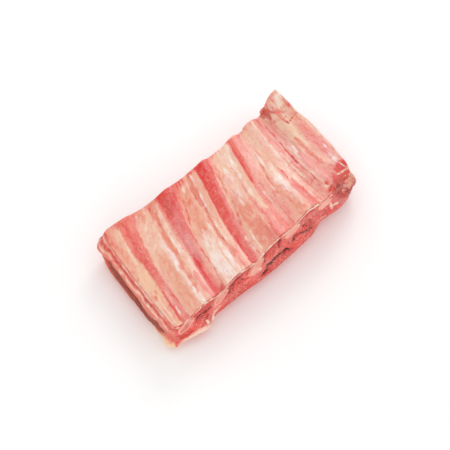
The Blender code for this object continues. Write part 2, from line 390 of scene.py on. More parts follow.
def calc(tree, operation, a, b=0.0, c=0.0):
    return addNode(tree, "ShaderNodeMath", {0: a, 1: b, 2: c}, operation=operation).outputs[0]


def times(tree, a, b):
    return calc(tree, "MULTIPLY", a, b)


def line(tree, value, gain, start):
    return calc(tree, "MULTIPLY_ADD", value, gain, start)


def blendColour(tree, share, a, b, blend="MIX"):
    a, b = [value if isinstance(value, bpy.types.NodeSocket) else (*value, 1) for value in (a, b)]
    return addNode(tree, "ShaderNodeMix", {0: share, 6: a, 7: b},
                   data_type="RGBA", blend_type=blend, clamp_factor=True).outputs[2]


def channels(tree, red, rest):
    return addNode(tree, "ShaderNodeCombineColor", {0: red, 1: rest, 2: rest}).outputs[0]


def ramp(tree, value, low, high):  # 0 below low and 1 above high
    inputs = {0: value, 1: low, 2: high}
    return addNode(tree, "ShaderNodeMapRange", inputs, interpolation_type="SMOOTHSTEP").outputs[0]


def grain(tree, place, perMetre, detail=3.0, stretch=(1, 1, 1), distortion=0.0):  # noise of some fineness
    scaled = addNode(tree, "ShaderNodeMapping", {"Vector": place, "Scale": [perMetre * k for k in stretch]})
    inputs = {"Vector": scaled.outputs[0], "Scale": 1.0, "Detail": detail, "Distortion": distortion}
    return addNode(tree, "ShaderNodeTexNoise", inputs).outputs["Fac"]


def attribute(tree, name, output="Fac"):
    return addNode(tree, "ShaderNodeAttribute", {}, attribute_name=name).outputs[output]


def mottled(tree, place, blotchShare, patchShare, fleckShare):
    # Uneven raw flesh over the piece's tint: broad pinker blotches, smaller lighter and darker patches, and
    # pale flecks of fat. Gives the colour and the height.
    blotch = times(tree, ramp(tree, grain(tree, place, 110, distortion=0.4), 0.48, 0.72), blotchShare)
    colour = blendColour(tree, blotch, attribute(tree, "tint", "Color"), (0.93, 0.70, 0.67), "MULTIPLY")
    patch = grain(tree, place, 300, distortion=0.6)
    shade = line(tree, calc(tree, "SUBTRACT", patch, 0.5), patchShare, 1.0)
    colour = blendColour(tree, 1.0, colour, channels(tree, shade, shade), "MULTIPLY")
    fleck = times(tree, ramp(tree, grain(tree, place, 480, 2.0, distortion=0.8), 0.60, 0.72), fleckShare)
    colour = blendColour(tree, fleck, colour, palette["gloss"])
    return colour, calc(tree, "ADD", patch, times(tree, fleck, 0.6))


def newMaterial(name, settings):  # a Principled shader with fixed values on its own sockets
    made = bpy.data.materials.new(name)
    made.use_nodes = True
    feed(made.node_tree, made.node_tree.nodes["Principled BSDF"], settings)
    return made, made.node_tree, addNode(made.node_tree, "ShaderNodeTexCoord", {}).outputs["Object"]


def finishSurface(tree, colour, roughness, height, bump, reach):
    relief = addNode(tree, "ShaderNodeBump", {"Strength": bump, "Distance": reach, "Height": height})
    feed(tree, tree.nodes["Principled BSDF"],
         {"Base Color": colour, "Roughness": roughness, "Normal": relief.outputs[0]})


membraneLook = {"IOR": 1.42, "Subsurface Weight": 0.22, "Subsurface Radius": (1.0, 0.4, 0.3),
                "Subsurface Scale": 3 * mm, "Coat Weight": 0.25, "Coat Roughness": 0.14}


def makeMembrane():
    # Wet membrane over fat and bone: streaked along the ribs, redder and blotchier where the bone shows
    made, tree, place = newMaterial("wetMembrane", membraneLook)
    flow = addNode(tree, "ShaderNodeUVMap", {}, uv_map="flow").outputs[0]
    wet, raw = attribute(tree, "wet"), attribute(tree, "raw")
    along = grain(tree, flow, 480, 3.0, (1, 0.1, 1), 0.3)
    across = grain(tree, flow, 700, 2.0, (0.12, 1, 1), 0.3)
    streaks = addNode(tree, "ShaderNodeMix", {0: raw, 2: along, 3: across}).outputs[0]
    colour, height = mottled(tree, place, line(tree, raw, 0.2, 0.2), line(tree, raw, 0.2, 0.1),
                             line(tree, raw, 0.1, 0.05))
    lines = line(tree, calc(tree, "SUBTRACT", streaks, 0.5), 0.26, 1.0)
    colour = blendColour(tree, 1.0, colour, channels(tree, line(tree, lines, 0.4, 0.6), lines), "MULTIPLY")
    # Hair-thin winding veins where a broad noise crosses its middle value, in patches
    wander = calc(tree, "SUBTRACT", grain(tree, place, 130, distortion=0.5), 0.5)
    vein = ramp(tree, calc(tree, "ABSOLUTE", wander), 0.016, 0.003)
    vein = times(tree, vein, ramp(tree, grain(tree, place, 60, 1.0), 0.48, 0.6))
    colour = blendColour(tree, times(tree, vein, line(tree, raw, 0.3, 0.3)), colour, palette["vein"])
    roughness = line(tree, grain(tree, place, 250, 2.0), 0.1, line(tree, wet, -0.16, 0.44))
    total = calc(tree, "ADD", height, times(tree, streaks, 0.8))
    finishSurface(tree, colour, roughness, total, 0.4, 0.5 * mm)
    return made


muscleLook = {"IOR": 1.36, "Subsurface Weight": 0.12, "Subsurface Radius": (1.0, 0.3, 0.25),
              "Subsurface Scale": 2 * mm, "Coat Weight": 0.15, "Coat Roughness": 0.15}


def makeMuscle():
    # Cut muscle: a fine cross grain of fibre bundles with dark gaps and marbling, smooth where it is fat
    made, tree, place = newMaterial("cutMuscle", muscleLook)
    lean = calc(tree, "SUBTRACT", 1.0, attribute(tree, "fat"))
    colour, height = mottled(tree, place, 0.3, line(tree, lean, 0.5, 0.2), times(tree, lean, 0.22))
    turned = {"Vector": place, "Rotation": (0, math.radians(35), 0)}
    bent = addNode(tree, "ShaderNodeMapping", turned).outputs[0]
    fibre = grain(tree, bent, 1000, 3.0, (0.30, 0.5, 1.05), 1.2)
    dark = times(tree, ramp(tree, fibre, 0.5, 0.30), times(tree, lean, 0.75))
    colour = blendColour(tree, dark, colour, (0.52, 0.30, 0.30), "MULTIPLY")
    # Winding parallel ridges of fibre, dark between and pale on top, in patches
    sweep = addNode(tree, "ShaderNodeVectorMath", {0: place, 1: (2400, 2400, 900)}, operation="DOT_PRODUCT")
    winding = line(tree, grain(tree, place, 120, 2.0, distortion=0.5), 34.0, sweep.outputs["Value"])
    ridge = calc(tree, "SINE", winding)
    patch = times(tree, ramp(tree, grain(tree, place, 60, 1.0), 0.42, 0.58), lean)
    between = times(tree, ramp(tree, ridge, 0.0, 1.0), times(tree, patch, 0.5))
    colour = blendColour(tree, between, colour, (0.55, 0.34, 0.34), "MULTIPLY")
    crest = times(tree, ramp(tree, ridge, -0.3, -1.0), times(tree, patch, 0.3))
    colour = blendColour(tree, crest, colour, palette["petal"])
    marbled = ramp(tree, grain(tree, bent, 330, 3.0, (0.5, 1, 1.6), 1.5), 0.63, 0.70)
    colour = blendColour(tree, times(tree, marbled, times(tree, lean, 0.45)), colour, palette["petal"])
    total = calc(tree, "ADD", height, times(tree, fibre, 1.4))
    finishSurface(tree, colour, line(tree, fibre, 0.2, 0.3), total, 0.7, 0.6 * mm)
    return made


boneLook = {"IOR": 1.45, "Subsurface Weight": 0.08, "Subsurface Radius": (1.0, 0.5, 0.4),
            "Subsurface Scale": 1.5 * mm, "Coat Weight": 0.2, "Coat Roughness": 0.25}


def makeBone():
    # Sawn rib: a dense pale rim round red spongy marrow with small holes
    made, tree, place = newMaterial("sawnRibBone", boneLook)
    spongy = attribute(tree, "spongy")
    colour, height = mottled(tree, place, 0.2, 0.4, times(tree, spongy, 0.4))
    cells = addNode(tree, "ShaderNodeTexVoronoi", {"Vector": place, "Scale": 900.0}).outputs["Distance"]
    holes = times(tree, ramp(tree, cells, 0.42, 0.12), spongy)
    colour = blendColour(tree, times(tree, holes, 0.5), colour, palette["marrowDeep"])
    total = calc(tree, "SUBTRACT", height, times(tree, holes, 1.5))
    finishSurface(tree, colour, line(tree, holes, 0.2, 0.34), total, 0.5, 0.4 * mm)
    return made


membrane = makeMembrane()
muscleFinish = makeMuscle()
boneFinish = makeBone()
print("finishes made")

# The bone side. Places are (rib share, share of the way from the near cut to the far one).
cover = {
    "columns": 400, "rows": 196, "bottomStep": 28,
    "perShare": 52 * mm,                     # mean spacing of the ribs
    "rounding": 0.8 * mm, "edge": (0.8 * mm, 3.0 * mm), "depth": 5 * mm,
    "overBone": 0.6 * mm,                    # skin over the crown of a bone
    "base": "cream",
    "jag": 1.1 * mm, "wander": 1.6 * mm,     # ragged edge of the bare strips, and drift of every stroke
    "ringSpacing": 0.83,                     # mm from point to point round the edge
    # How far down the edge each of its rings lies, how far out in mm, and how creamy it is
    "edgeSteps": "0.35,0,0.6 0.7,-0.1,0.9 1,-0.35,0.9 1.15,-1,0.2 1.3,-2.2,0 1.9,-3.7,0",
    "fringe": 1.2 * mm,                      # fine fibres across the strips' edges
    "stripSink": 0.2 * mm,
    "tear": (2.0 * mm, 6.0 * mm), "warmth": (0.965, 0.84, 0.835),
    "redness": 0.83, "evenRed": 0.5,         # wet flesh stays as red where it is dark
}
# Where bone shows through: left and right edges and the colours across, from the near cut to the far one.
# The colours across run deep red on each strip's left flank and paler on its right: partly the bone's own
# red edge, and partly painted shade and highlight on the rounded bone. The pale right side at the near ends
# of the second and third strips is a painted highlight.
bareStrips = (
    {"left": "0,.945 .2,.93 .4,.95 .55,.93 .7,.83 .85,.82 1,.85",
     "right": "0,1.13 .3,1.13 .5,1.12 .7,1.14 .85,1.17 1,1.27",
     "strength": 0.9, "jag": 1.2, "soft": (2.2, 1.3),
     "across": "0 boneRed pink boneRose, .1 boneRed pink pink, .22 boneRed petal boneRose, "
               ".34 boneRose pink pink, .5 boneRed boneRose boneRose, .62 boneRed boneRed salmon, "
               ".76 rose boneRed rose, .88 rose rose salmon, 1 salmon salmon salmon"},
    {"left": "0,1.835 .25,1.85 .5,1.87 .8,1.83 1,1.81",
     "right": "0,2.15 .2,2.11 .4,2.15 .6,2.16 .8,2.2 1,2.26",
     "strength": 0.94, "jag": 0.8, "soft": (1.6, 1.0),
     "across": "0 crimson pink shell, .12 crimson pink shell, .22 boneRed pink shell, "
               ".34 plum plum petal, .5 plum mauve pink, "
               ".64 plum plum boneRose, .78 boneRed plum boneRed, "
               ".87 boneRed maroon crimson, 1 crimson boneRed boneRed"},
    {"left": "0,2.87 .3,2.85 .6,2.86 .85,2.86 1,2.82",
     "right": "0,3.11 .3,3.12 .5,3.15 .7,3.19 1,3.22",
     "strength": 0.96, "jag": 0.6, "soft": (0.7, 1.3),
     "across": "0 crimson boneRose shell, .15 crimson boneRose shell, "
               ".3 boneRed boneRose pink, .5 boneRed boneRed pink, .7 boneRed boneRed boneRose, "
               ".84 crimson crimson boneRed, 1 crimson crimson boneRed"},
    {"left": "0,3.84 .2,3.83 .4,3.86 .7,3.88 1,3.87",
     "right": "0,4.19 .3,4.23 .6,4.25 .8,4.29 1,4.32",
     "strength": 0.85, "jag": 0.9, "soft": (0.8, 3.5),
     "across": "0 rose pink petal, .18 rose shell pink, .3 salmon petal petal, "
               ".45 pink petal shell, .6 boneRose shell shell, .8 boneRed pink petal, "
               "1 boneRose pink pink"},
    {"left": "0,4.82 .4,4.85 .7,5.0 1,5.02",
     "right": "0,5.23 .4,5.31 .6,5.39 1,5.46",
     "strength": 0.7, "jag": 1.2, "soft": (1.5, 2),
     "across": "0 shell petal pink, .2 shell shell petal, "
               ".45 petal petal petal, .6 shell shell petal, "
               ".8 shell shell petal, 1 petal pink pink"},
)
leftOfRibs = strokeRows("""
butter 10 .7 .7 .2  .88,0 .83,.5 .78,1
amber 9 .6 .9  .66,.55 .62,.75 .58,1
salmon 8 .5 .8  .55,.75 .5,1
butter 14 .7 .8  .82,.3 .8,.5
ivory 1.8 .9 .6 .4  .79,.96 .78,.75 .79,.5
pink 1.5 .7 .5 -.2  .8,0 .78,.3
salmon 1.3 .6 .5 -.2  .85,0 .83,.35
pink 1.2 .6 .5 -.2  .9,0 .885,.28
ivory 1.8 .7 .5 .25  .825,0 .81,.3
ember 2.5x4 .5 .8  .74,.3
blood 7x6 .6 .8 -.3  .82,.98
""")
# The gloss strokes are painted highlights on the wet membrane.
firstBay = strokeRows("""
tan 15 .6 .8  1.34,0 1.33,.3 1.34,.55
fawn 5 .35 .9 -.2  1.4,.04 1.39,.25 1.36,.42
cream 15 .6 .8 .2  1.38,.64 1.4,1
dusk 8 .4 .9  1.64,0 1.66,.28
gloss 5 .85 .6 .5  1.53,0 1.54,.15 1.52,.38
gloss 5 .75 .7 .5  1.53,.38 1.53,.5 1.51,.6 1.5,.7
gloss 2.6x9 1 .5 .4  1.525,.43
fawn 6.5 .8 .6 -.8  1.6,.18 1.59,.4 1.64,.5 1.62,.6 1.63,.85 1.61,1
amber 3 .7 .7 -.2  1.65,.5 1.64,.7 1.65,.9
ivory 5 .7 .7 .5  1.78,.1 1.76,.4 1.74,.7 1.72,.98
gloss 1.6 .6 .6 .2  1.72,.48 1.71,.64
gloss 1.6 .5 .6 .3  1.7,.84 1.7,1
pink 2.4 .5 .7 -.2  1.81,.5 1.8,.95
ivory 3 .8 .5 .6  1.22,.955 1.35,.975 1.6,.99
tan 1.6 .7 .6 -.4  1.24,.9 1.34,.93 1.5,.93
ivory 2.2 .7 .6 .3  1.25,.73 1.31,.765 1.37,.745
gloss 2 .6 .7 .2  1.26,.64 1.34,.66
ivory 3 .6 .7 .3  1.31,.81 1.42,.88
blood 1.6x3 .6  1.62,.79
blood 2.5x3 .6  1.64,.97
ember 1.6x2.2 .5 .8  1.58,.1
""")
# The gloss strokes paint the broad white sheen low in this bay: painted highlights.
secondBay = strokeRows("""
amber 19 .65 .8  2.36,.5 2.4,.98
tan 17 .6 .9  2.4,.45 2.4,.72
salmon 6 .7 .8  2.24,.66 2.28,1
vein 2 .8 .6 -.3  2.33,.83 2.3,.78 2.27,.72 2.22,.62
ivory 3 .85 .6 .4  2.42,.9 2.44,.97
cream 5 .6 .8 .2  2.3,.5 2.28,.62
gloss 15 .55 .7 .5  2.42,0 2.42,.2 2.38,.33 2.36,.42
gloss 4x12 .8 .8 .3  2.31,.2
gloss 4x7 .8 .8 .2  2.33,.07
gloss 6 .6 .7 .2  2.25,0 2.24,.28
gloss 6 .65 .7 .4  2.57,.02 2.56,.2 2.58,.33
cream 2.2 .9 .6 -.4  2.48,.02 2.47,.22 2.49,.38
gloss 3.5 .5 .8 .2  2.52,.4 2.54,.52
tan 5 .55 .8 -.2  2.64,.05 2.62,.35
fawn 5 .85 .6 -.9  2.57,1 2.6,.85 2.64,.7 2.64,.6 2.61,.5 2.63,.4 2.65,.3 2.66,.16
dusk 2.2 .7 .7 -.3  2.62,.84 2.65,.66 2.62,.45
vein 1.8x3.6 .8 .6 -.3  2.655,.64
vein 1.8 .7 .6 -.2  2.55,.87 2.61,.81 2.59,.76
vein 1.2x3 .6  2.68,.32
cream 7 .85 .6 .6  2.79,.02 2.78,.2 2.76,.35 2.74,.5 2.76,.7 2.74,1
gloss 1.7 .7 .5 .3  2.71,.3 2.69,.6 2.69,1
pink 4 .45 .8  2.72,0 2.71,.22
""")
# The gloss strokes are painted highlights and glints on the wet membrane, and so is the thin ivory streak
# along the third rib's right edge at 3.22 to 3.24.
thirdBay = strokeRows("""
cream 13 .6 .8 .2  3.48,.74 3.42,1
amber 5 .7 .8 -.2  3.3,.88 3.28,.74
blood 2.5x8 .5 .8  3.22,.92
vein 2.5 .55 .7 -.4  3.26,.77 3.24,.64
ember 1.8x2.6 .8 .6  3.26,.54
tan 2.4 .7 .7 -.4  3.25,.5 3.2,.4
vein 3 .75 .6 -.5  3.21,.42 3.18,.36 3.16,.31
fawn 20 .9  3.42,0 3.4,.25 3.37,.5
dusk 11 .4 .9 -.2  3.46,.01 3.43,.2
tan 15 .7 .8  3.38,.48 3.42,.72
gloss 11 .4 .9 .3  3.42,.5 3.48,.76
dusk 3.4 .75 .6 -.7  3.63,.83 3.67,.7 3.68,.6 3.63,.5 3.63,.33
ivory 3.6 .95 .5 .7  3.69,.87 3.72,.7 3.73,.46
gloss 1.4x3.4 1 .6 .3  3.725,.51
gloss 1.4x3.4 1 .6 .3  3.72,.68
gloss 1.4x4 .9 .6 .3  3.7,.83
cream 6.5 .8 .7 .3  3.74,1 3.79,.8 3.79,.55 3.78,.42 3.77,.3 3.76,.1
ivory 9 .7 .8 .3  3.64,.86 3.6,1
pink 6.5 .75 .8  3.67,.02 3.68,.2 3.66,.42
salmon 12 .7 .8  3.84,0 3.83,.2
ember 2.2 .7 .6 -.3  3.62,.02 3.64,.13
boneRose 1.8 .7  3.69,.1 3.7,.24
boneRed 1.5x3.4 .5  3.68,.28
ivory 1.6 .8 .5 .3  3.22,.04 3.24,.22
gloss 1.2x4 .9 .6 .2  3.235,.14
ember 1.6x2.6 .5  3.16,.15
""")
# The gloss strokes are painted highlights on the wet membrane.
fourthBay = strokeRows("""
petal 9 .7 .8  4.42,.76 4.4,1
cream 7 .65 .8 .3  4.64,.7 4.62,1
petal 6 .5 .8  4.8,.72 4.78,1
pink 3 .5 .7 -.3  4.5,.62 4.54,.98
gloss 5 .5 .8 .3  4.41,.6 4.45,.75
fawn 2.8 .85 .6 -.7  4.43,.74 4.36,.6 4.3,.5 4.27,.42 4.24,.32
ember 2.2x7 .5 .8 -.2  4.305,.47
gloss 1.6 .8 .5 .3  4.25,.42 4.27,.35
vein 1.7x2.6 .7 .6  4.19,.35
fawn 20 .75 .8  4.42,0 4.42,.22
tan 6 .65 .8 -.2  4.33,.26 4.37,.44
gloss 9 .4 .9 .3  4.5,.12 4.52,.33 4.53,.5
gloss 2.5x7 .7 .8 .2  4.46,.4
gloss 2x9 .8 .8 .2  4.55,.35
gloss 1.6x6 .8 .7 .3  4.62,.57
tan 6 .45 .8 -.2  4.62,.5 4.7,.72
pink 7 .85 .7 .2  4.7,0 4.71,.2 4.73,.46
boneRed 1.8 .7 .6 -.2  4.725,.37 4.735,.46
boneRed 1.8x3 .75  4.78,.23
boneRed 2.2 .6 .7 -.2  4.69,.1 4.71,.2
boneRed 4x3 .6 .8  4.72,.02
""")
# Painted light among these details: the gloss strokes are painted highlights on the bare strips and the
# right end; the walnut oval at the second rib's near end and the walnut line on the third rib's near end
# paint shade on the rounded bone ends; the umber and bark strokes at the far end near 5.7 paint the shadow
# under the flap's left edge.
ribDetails = strokeRows("""
pink 6 .95 .8  1.77,0 1.76,.24
amber 10 .8 .8  1.36,1 1.38,.94
pink 7 .8 .8  2.75,0 2.76,.24
tan 6 .5 .9  2.76,.45 2.77,.94
fawn 6 .95 .7 -.2  2.64,.91 2.66,.8
fawn 4 .8 .7 -.2  2.65,.62 2.64,.45
walnut 9 .4 .9  3.54,.1 3.56,0
boneRose 8 .9 .8  3.65,.1 3.67,0
pink 7 .9 .8  3.77,0 3.77,.26
rose 5 .9 .8  3.92,0 3.92,.1
pink 6 .95 .8  4.68,0 4.68,.26
rose 6 .98  4.79,0 4.79,.3
cream 8 .95 .8  4.8,.5 4.82,1
ivory 7 .95 .8  4.92,.77 4.93,.93
petal 6 .95 .8  5.05,.5 5.06,.75
tan 6 .9 .8  5.05,.72 5.06,1
petal 5 .85 .8  5.32,.42 5.33,.82
petal 6 .85 .8  5.45,.27 5.45,.43
tan 8 .8 .8  5.58,1 5.6,.94
shell 7 .85 .8  5.92,.12 5.93,.26
petal 7 .95 .8  5.18,.11 5.18,.27
petal 5 .9 .8  4.06,.11 4.06,.26
rose 5 .95 .8  4.9,0 4.91,.1
cream 9 .9 .8  4.5,.92 4.53,1
ivory 6 .9 .8  3.77,.8 3.77,1
rose 4 .8 .8  3.92,.6 3.93,1
cream 7 .7 .8  2.55,.94 2.56,1
salmon 7 .8 .8  2.25,.93 2.26,1
tan 10 .8 .8  1.7,.94 1.71,1
crimson 4.5 .7 .8  2.92,0 2.92,.25
pink 11 .85 .9  5.6,.1 5.6,.44
pink 6 .85 .8  5.76,.14 5.75,.42
salmon 6 .9 .8  5.91,.28 5.93,.44 5.95,.58
ember 3 .7 .7 -.2  5.91,.46 5.9,.3
pink 7 .6 .9  6.12,.28 6.12,.44
petal 8 .85 .8 .2  6.3,.2 6.45,.22
gloss 2.6x4 .7 .7 .2  6.36,.2
salmon 6 .7 .9  6.08,.86 6.16,.99
amber 5 .7 .9  6.3,.86 6.45,.85
umber 7 .96  5.7,1.03 5.78,.94
boneRed 2.4 .9  5.74,1.02 5.8,.955
bark 2.6 .7 .8  5.67,1.03 5.72,.965
boneRed 1.8 .8  .955,0 .95,.3
boneRed 1.4 .6  1.13,0 1.125,.3
gloss 1.8 .5 .9  1.02,.135 1.03,.06
gloss 2 .35 .9  1,.71 1.03,.68
petal 1.6 .7 .7 .2  1.04,.63 1.06,.6
vein 2x2.5 .8 .7 -.2  .98,.78
boneRed 4 .7 .8  .95,.95 .97,.84
boneRose 1.4 .7 .8  2.14,.05 2.14,.55 2.16,.75
walnut 5 .6 .9 -.2  1.94,.93 1.95,.8
crimson 5 .96 .9  1.93,0 1.92,.34
walnut 3.6x3.6 .85 .8 -.2  2.055,.012
walnut 3 .6 .9 -.2  2.96,.02 2.96,.2
gloss 3 .5 .9  3.11,0 3.11,.12 3.1,.2
boneRose 1.2 .7  3.115,0 3.12,.3 3.14,.45
boneRed 2.2 .6 .8  2.88,.1 2.87,.5 2.88,1
boneRed 2.4 .7 .8  3.9,.55 3.91,.8 3.9,1
gloss 1.6 .5 .8  3.98,.42 4,.3
ember 1.4 .6 .8  3.96,0 3.95,.2
ember 1.4 .5 .8  4.08,0 4.08,.2
petal 5 .6 .9  4.1,.65 4.13,.9
petal 6 .6 .8  4.86,.5 4.9,1
ivory 3 .7 .8 .2  4.89,0 4.92,.5
salmon 2.6 .7 .8  5.03,0 5.03,.32
pink 5 .7 .8  5.13,.38 5.18,.64
pink 6 .5 .9  5.12,.66 5.14,.95
boneRose 3.4 .5 .8  5.2,.04 5.21,.4
ivory 1.8 .7 .6 .3  5.1,.28 5.12,.6
ivory 3 .7 .8 .3  4.98,.48 5.02,1
boneRose 3 .5 .7 -.2  5.25,.6 5.3,1
boneRed 1.1 .55 .6 -.3  5,.452 5.15,.46 5.33,.455
boneRed 1.2 .6 .6 -.3  4.8,.19 4.93,.215 5.06,.19 5.27,.2
boneRed 2 .8 .7 -.4  5.41,.92 5.41,.8 5.39,.7 5.35,.6 5.33,.5 5.31,.42
vein 3 .9 .6 -.3  5.34,.58 5.31,.44
boneRed 1.6 .6 .6 -.4  5.32,.42 5.3,.3 5.3,.1
""")
# The gloss strokes are painted highlights; the umber and dusk strokes paint shade in the creases and at the
# flap's left foot, and the gap oval paints its dark shadow.
fifthBay = strokeRows("""
ash 15 .8  5.6,0 5.58,.5 5.66,1
dusk 8 .6 .8  5.55,.62 5.6,1
fawn 6 .6 .8 -.2  5.68,.26 5.66,.46
gloss 2.6 .8 .6 .3  5.6,.43 5.615,.57
gloss 2.6 .6 .7 .3  5.4,.24 5.4,.42
salmon 3 .5 .8  5.4,.02 5.42,.2
dusk 8 .75 .8 -.4  5.56,.98 5.62,.86 5.6,.7
fawn 2.2 .8 .7 -.6  5.66,.9 5.72,.84 5.7,.78
ash 2 .7 .7 .5  5.62,.84 5.68,.76
dusk 2 .7 .7 -.4  5.58,.72 5.66,.66
umber 3.4 .35 .8 -.4  5.76,.8 5.74,.62 5.7,.5
umber 3 .8 .6 -1.2  5.62,1 5.68,.955 5.76,.91
gloss 1.8 .6 .6 .5  5.6,.94 5.66,.9
gap 3.4x5 .8 .6 -2  5.65,1
gloss 3.4 .6 .8 .3  5.5,.6 5.52,.45 5.5,.3
boneRed 7 .8  5.2,.006 5.5,.02 5.8,.03
""")
# The gloss strokes are small painted highlights.
rightEnd = strokeRows("""
cream 17 .5 .8  6.1,.45 6.05,.9
tan 15 .55 .8  6.4,.46 6.42,.74
butter 5 .6 .7 .4  6.03,.46 6.04,.86
pink 6 .7 .8  6.1,1 6.7,.95
ivory 11x7 .96 .4 .5  6.3,.92
ivory 7x5 .8 .6 .3  6.45,.93
boneRose 4.4 .9 .7 -.5  5.74,1 5.88,.93 6.05,.885 6.3,.825
vein 1.8 .8 .6 -.3  5.74,1 5.88,.94 6.02,.89 6.06,.82 6.12,.74
salmon 5 .7 .8 -.3  5.84,.86 5.98,.83 6.12,.79
vein 1.8 .8 .6 -.3  6.12,.74 6.37,.742 6.65,.735
ivory 1.8 .7 .6 .4  6,.93 6.14,.875 6.34,.835 6.65,.79
boneRose 4 .7 .8  5.9,1 6,.93
boneRose 4 .7 .8  6.72,1 6.62,.88 6.6,.8
ember 2.4x4 .8  6.56,.9
vein 2x2.4 .7  6.52,.83
pink 1.6 .7  6.35,.7 6.36,.56
pink 17 .96 .6  6.4,.2 6.45,.55
salmon 9 .8 .8  6.5,.5 6.5,.72
boneRose 2.2 .6  6.34,.46 6.3,.3
boneRose 2.4 .6  6.5,.47 6.48,.3
salmon 3.4 .8 .7 -.2  5.93,.46 5.92,.3 5.96,.2
ember 1.8x5 .6 .7 -.2  5.93,.4
ember 2.4x3 .7 .7 -.3  5.92,.21
ivory 2.6x3.6 .8 .7 .3  5.8,.26
cream 2.6x3.6 .8 .7 .3  5.78,.17
boneRed 16 .95 .5  5.74,.09 5.9,.1 6.05,.12 6.2,.12 6.45,.12
boneRed 6x6 .9 .5 -.3  5.95,.19
ember 4 .8 .6 .2  6.02,.08 6.1,.14
blood 3 .9 .5 -.4  6.2,.1 6.4,.13 6.6,.1
ivory 1.5 .7 .6 .4  6,.22 6.14,.19 6.3,.22
petal 1.2 .8 .6 .4  6.12,.15 6.2,.1 6.28,.13
gloss 1.4 .7 .6 .4  6.36,.15 6.42,.1
rust 2.2x2.2 .8 .6 -.3  6.24,.16
vein 2 .8 .7 -.3  5.86,.06 5.92,.12
ember 1.6 .7  5.74,.14 5.84,.2
petal 1.4 .8 .6 .3  5.98,.08 6.06,.06
mauve 6 .85  6.5,.22 6.47,.3
dusk 2 .7 .6 -.3  6.62,.3 6.5,.22
boneRose 1.3 .8 .6 -.2  6.2,.52 6.26,.55 6.3,.5
boneRose 1.4 .8 .6 -.2  6.27,.49 6.3,.42 6.36,.38
boneRose 2.2x5 .7 .8  6.3,.36
boneRose 2x4 .6 .8  6.42,.34
gloss 1.6x3 .6 .7 .2  6.35,.27
gloss 1.4x2.4 .7 .7 .2  6.46,.36
""")
farEdge = strokeRows("""
pink 8 .6 .9  .4,1 1.7,1
salmon 12 .65 .9  1.7,1 3,1
boneRed 12 .7 .9  1.95,1 2.55,.985
boneRose 9 .6 .9  2.16,.78 2.24,.95
boneRose 8 .6 .9  3.2,1 3.45,1
pink 6 .6 .9  3.9,1 5.3,1
vein 4x2.5 .6  1.74,.98
blood 4.5x9 .85 .5 -.5  .47,.93
ember 2x4 .7  2.42,.78
ember 2x3 .7  2.66,.64
ember 2x5 .55 .8  2.655,.82
vein 5x2 .6  4.42,.99
vein 4x2 .6  4.72,.99
""")


# The brown cut end of the last muscle, round the near right corner: an oval on a slanting plane. Its
# strokes' places are millimetres across that plane and up it, from the oval's middle.
cutEnd = {
    "centre": (115 * mm, -68 * mm, 38 * mm), "facing": (-0.41, -0.41, 0.82), "reach": 34 * mm,
    "tear": (2.6 * mm, 2.6 * mm),
}
# The bark lines paint dark shade along the cut end's sunk crevices.
cutEndStrokes = strokeRows("""
boneRed 5 .95 .4 .5  -17,-2 -16,5 -10,10 -3,13 4,17 10,21
ivory 2 .6 .6 .3  -8,14 -3,17 1,20
rust 16.5x11.5 1 .15 -.3  -1,-1
rust 11x10 1 .2 -.2  8,4
boneRose 5 .8 .6 .2  -13,-14 -4,-17 6,-16 14,-9
clay 6.5x4.5 .96 .2 .3  4.5,5
clay 5x5 .96 .2 .3  9,10
clay 4x3 .96 .3 .3  0,1
fawn 2 .7  2,7 6,10 9,12
rust 1.6 .6  7,7 10,10
boneRed 3.4 .96 .5  14,8 16,3 16,-3
bark 1.8 .8 .6 -.6  -12,-4 -10,2 -6,6
bark 1.6 .7 .6 -.6  -8,2 -4,4
bark 1.8 .7 .6 -.6  -9,-8 -4,-5 2,-5 7,-9
bark 1.8 .7 .6 -.6  7,-3 10,-6 12,0
salmon 1.8 .6  -13,-1 -11,-6
salmon 1.6 .6  -6,1 -7,4
boneRose 2.4 .5 .8  -5,-8 2,-8
""")


def paintCutEnd(points, tint, relief, fat):
    facing = np.array(cutEnd["facing"]) / np.linalg.norm(cutEnd["facing"])
    across = np.cross((0, 0, 1), facing)
    across = across / np.linalg.norm(across)
    off = points - np.array(cutEnd["centre"])
    a, b = off @ across / mm, off @ np.cross(facing, across) / mm
    painted, raised, marbled = tint.copy(), relief.copy(), fat.copy()
    layStrokes(cutEndStrokes, a, b, mm, mm, painted, raised, marbled, cutEnd["tear"], 15000)
    near = 1 - smooth(0.85, 1, np.linalg.norm(off, axis=-1) / cutEnd["reach"])
    tint[:] = mixed(tint, painted, near)
    relief += (raised - relief) * near
    fat += (marbled - fat) * near


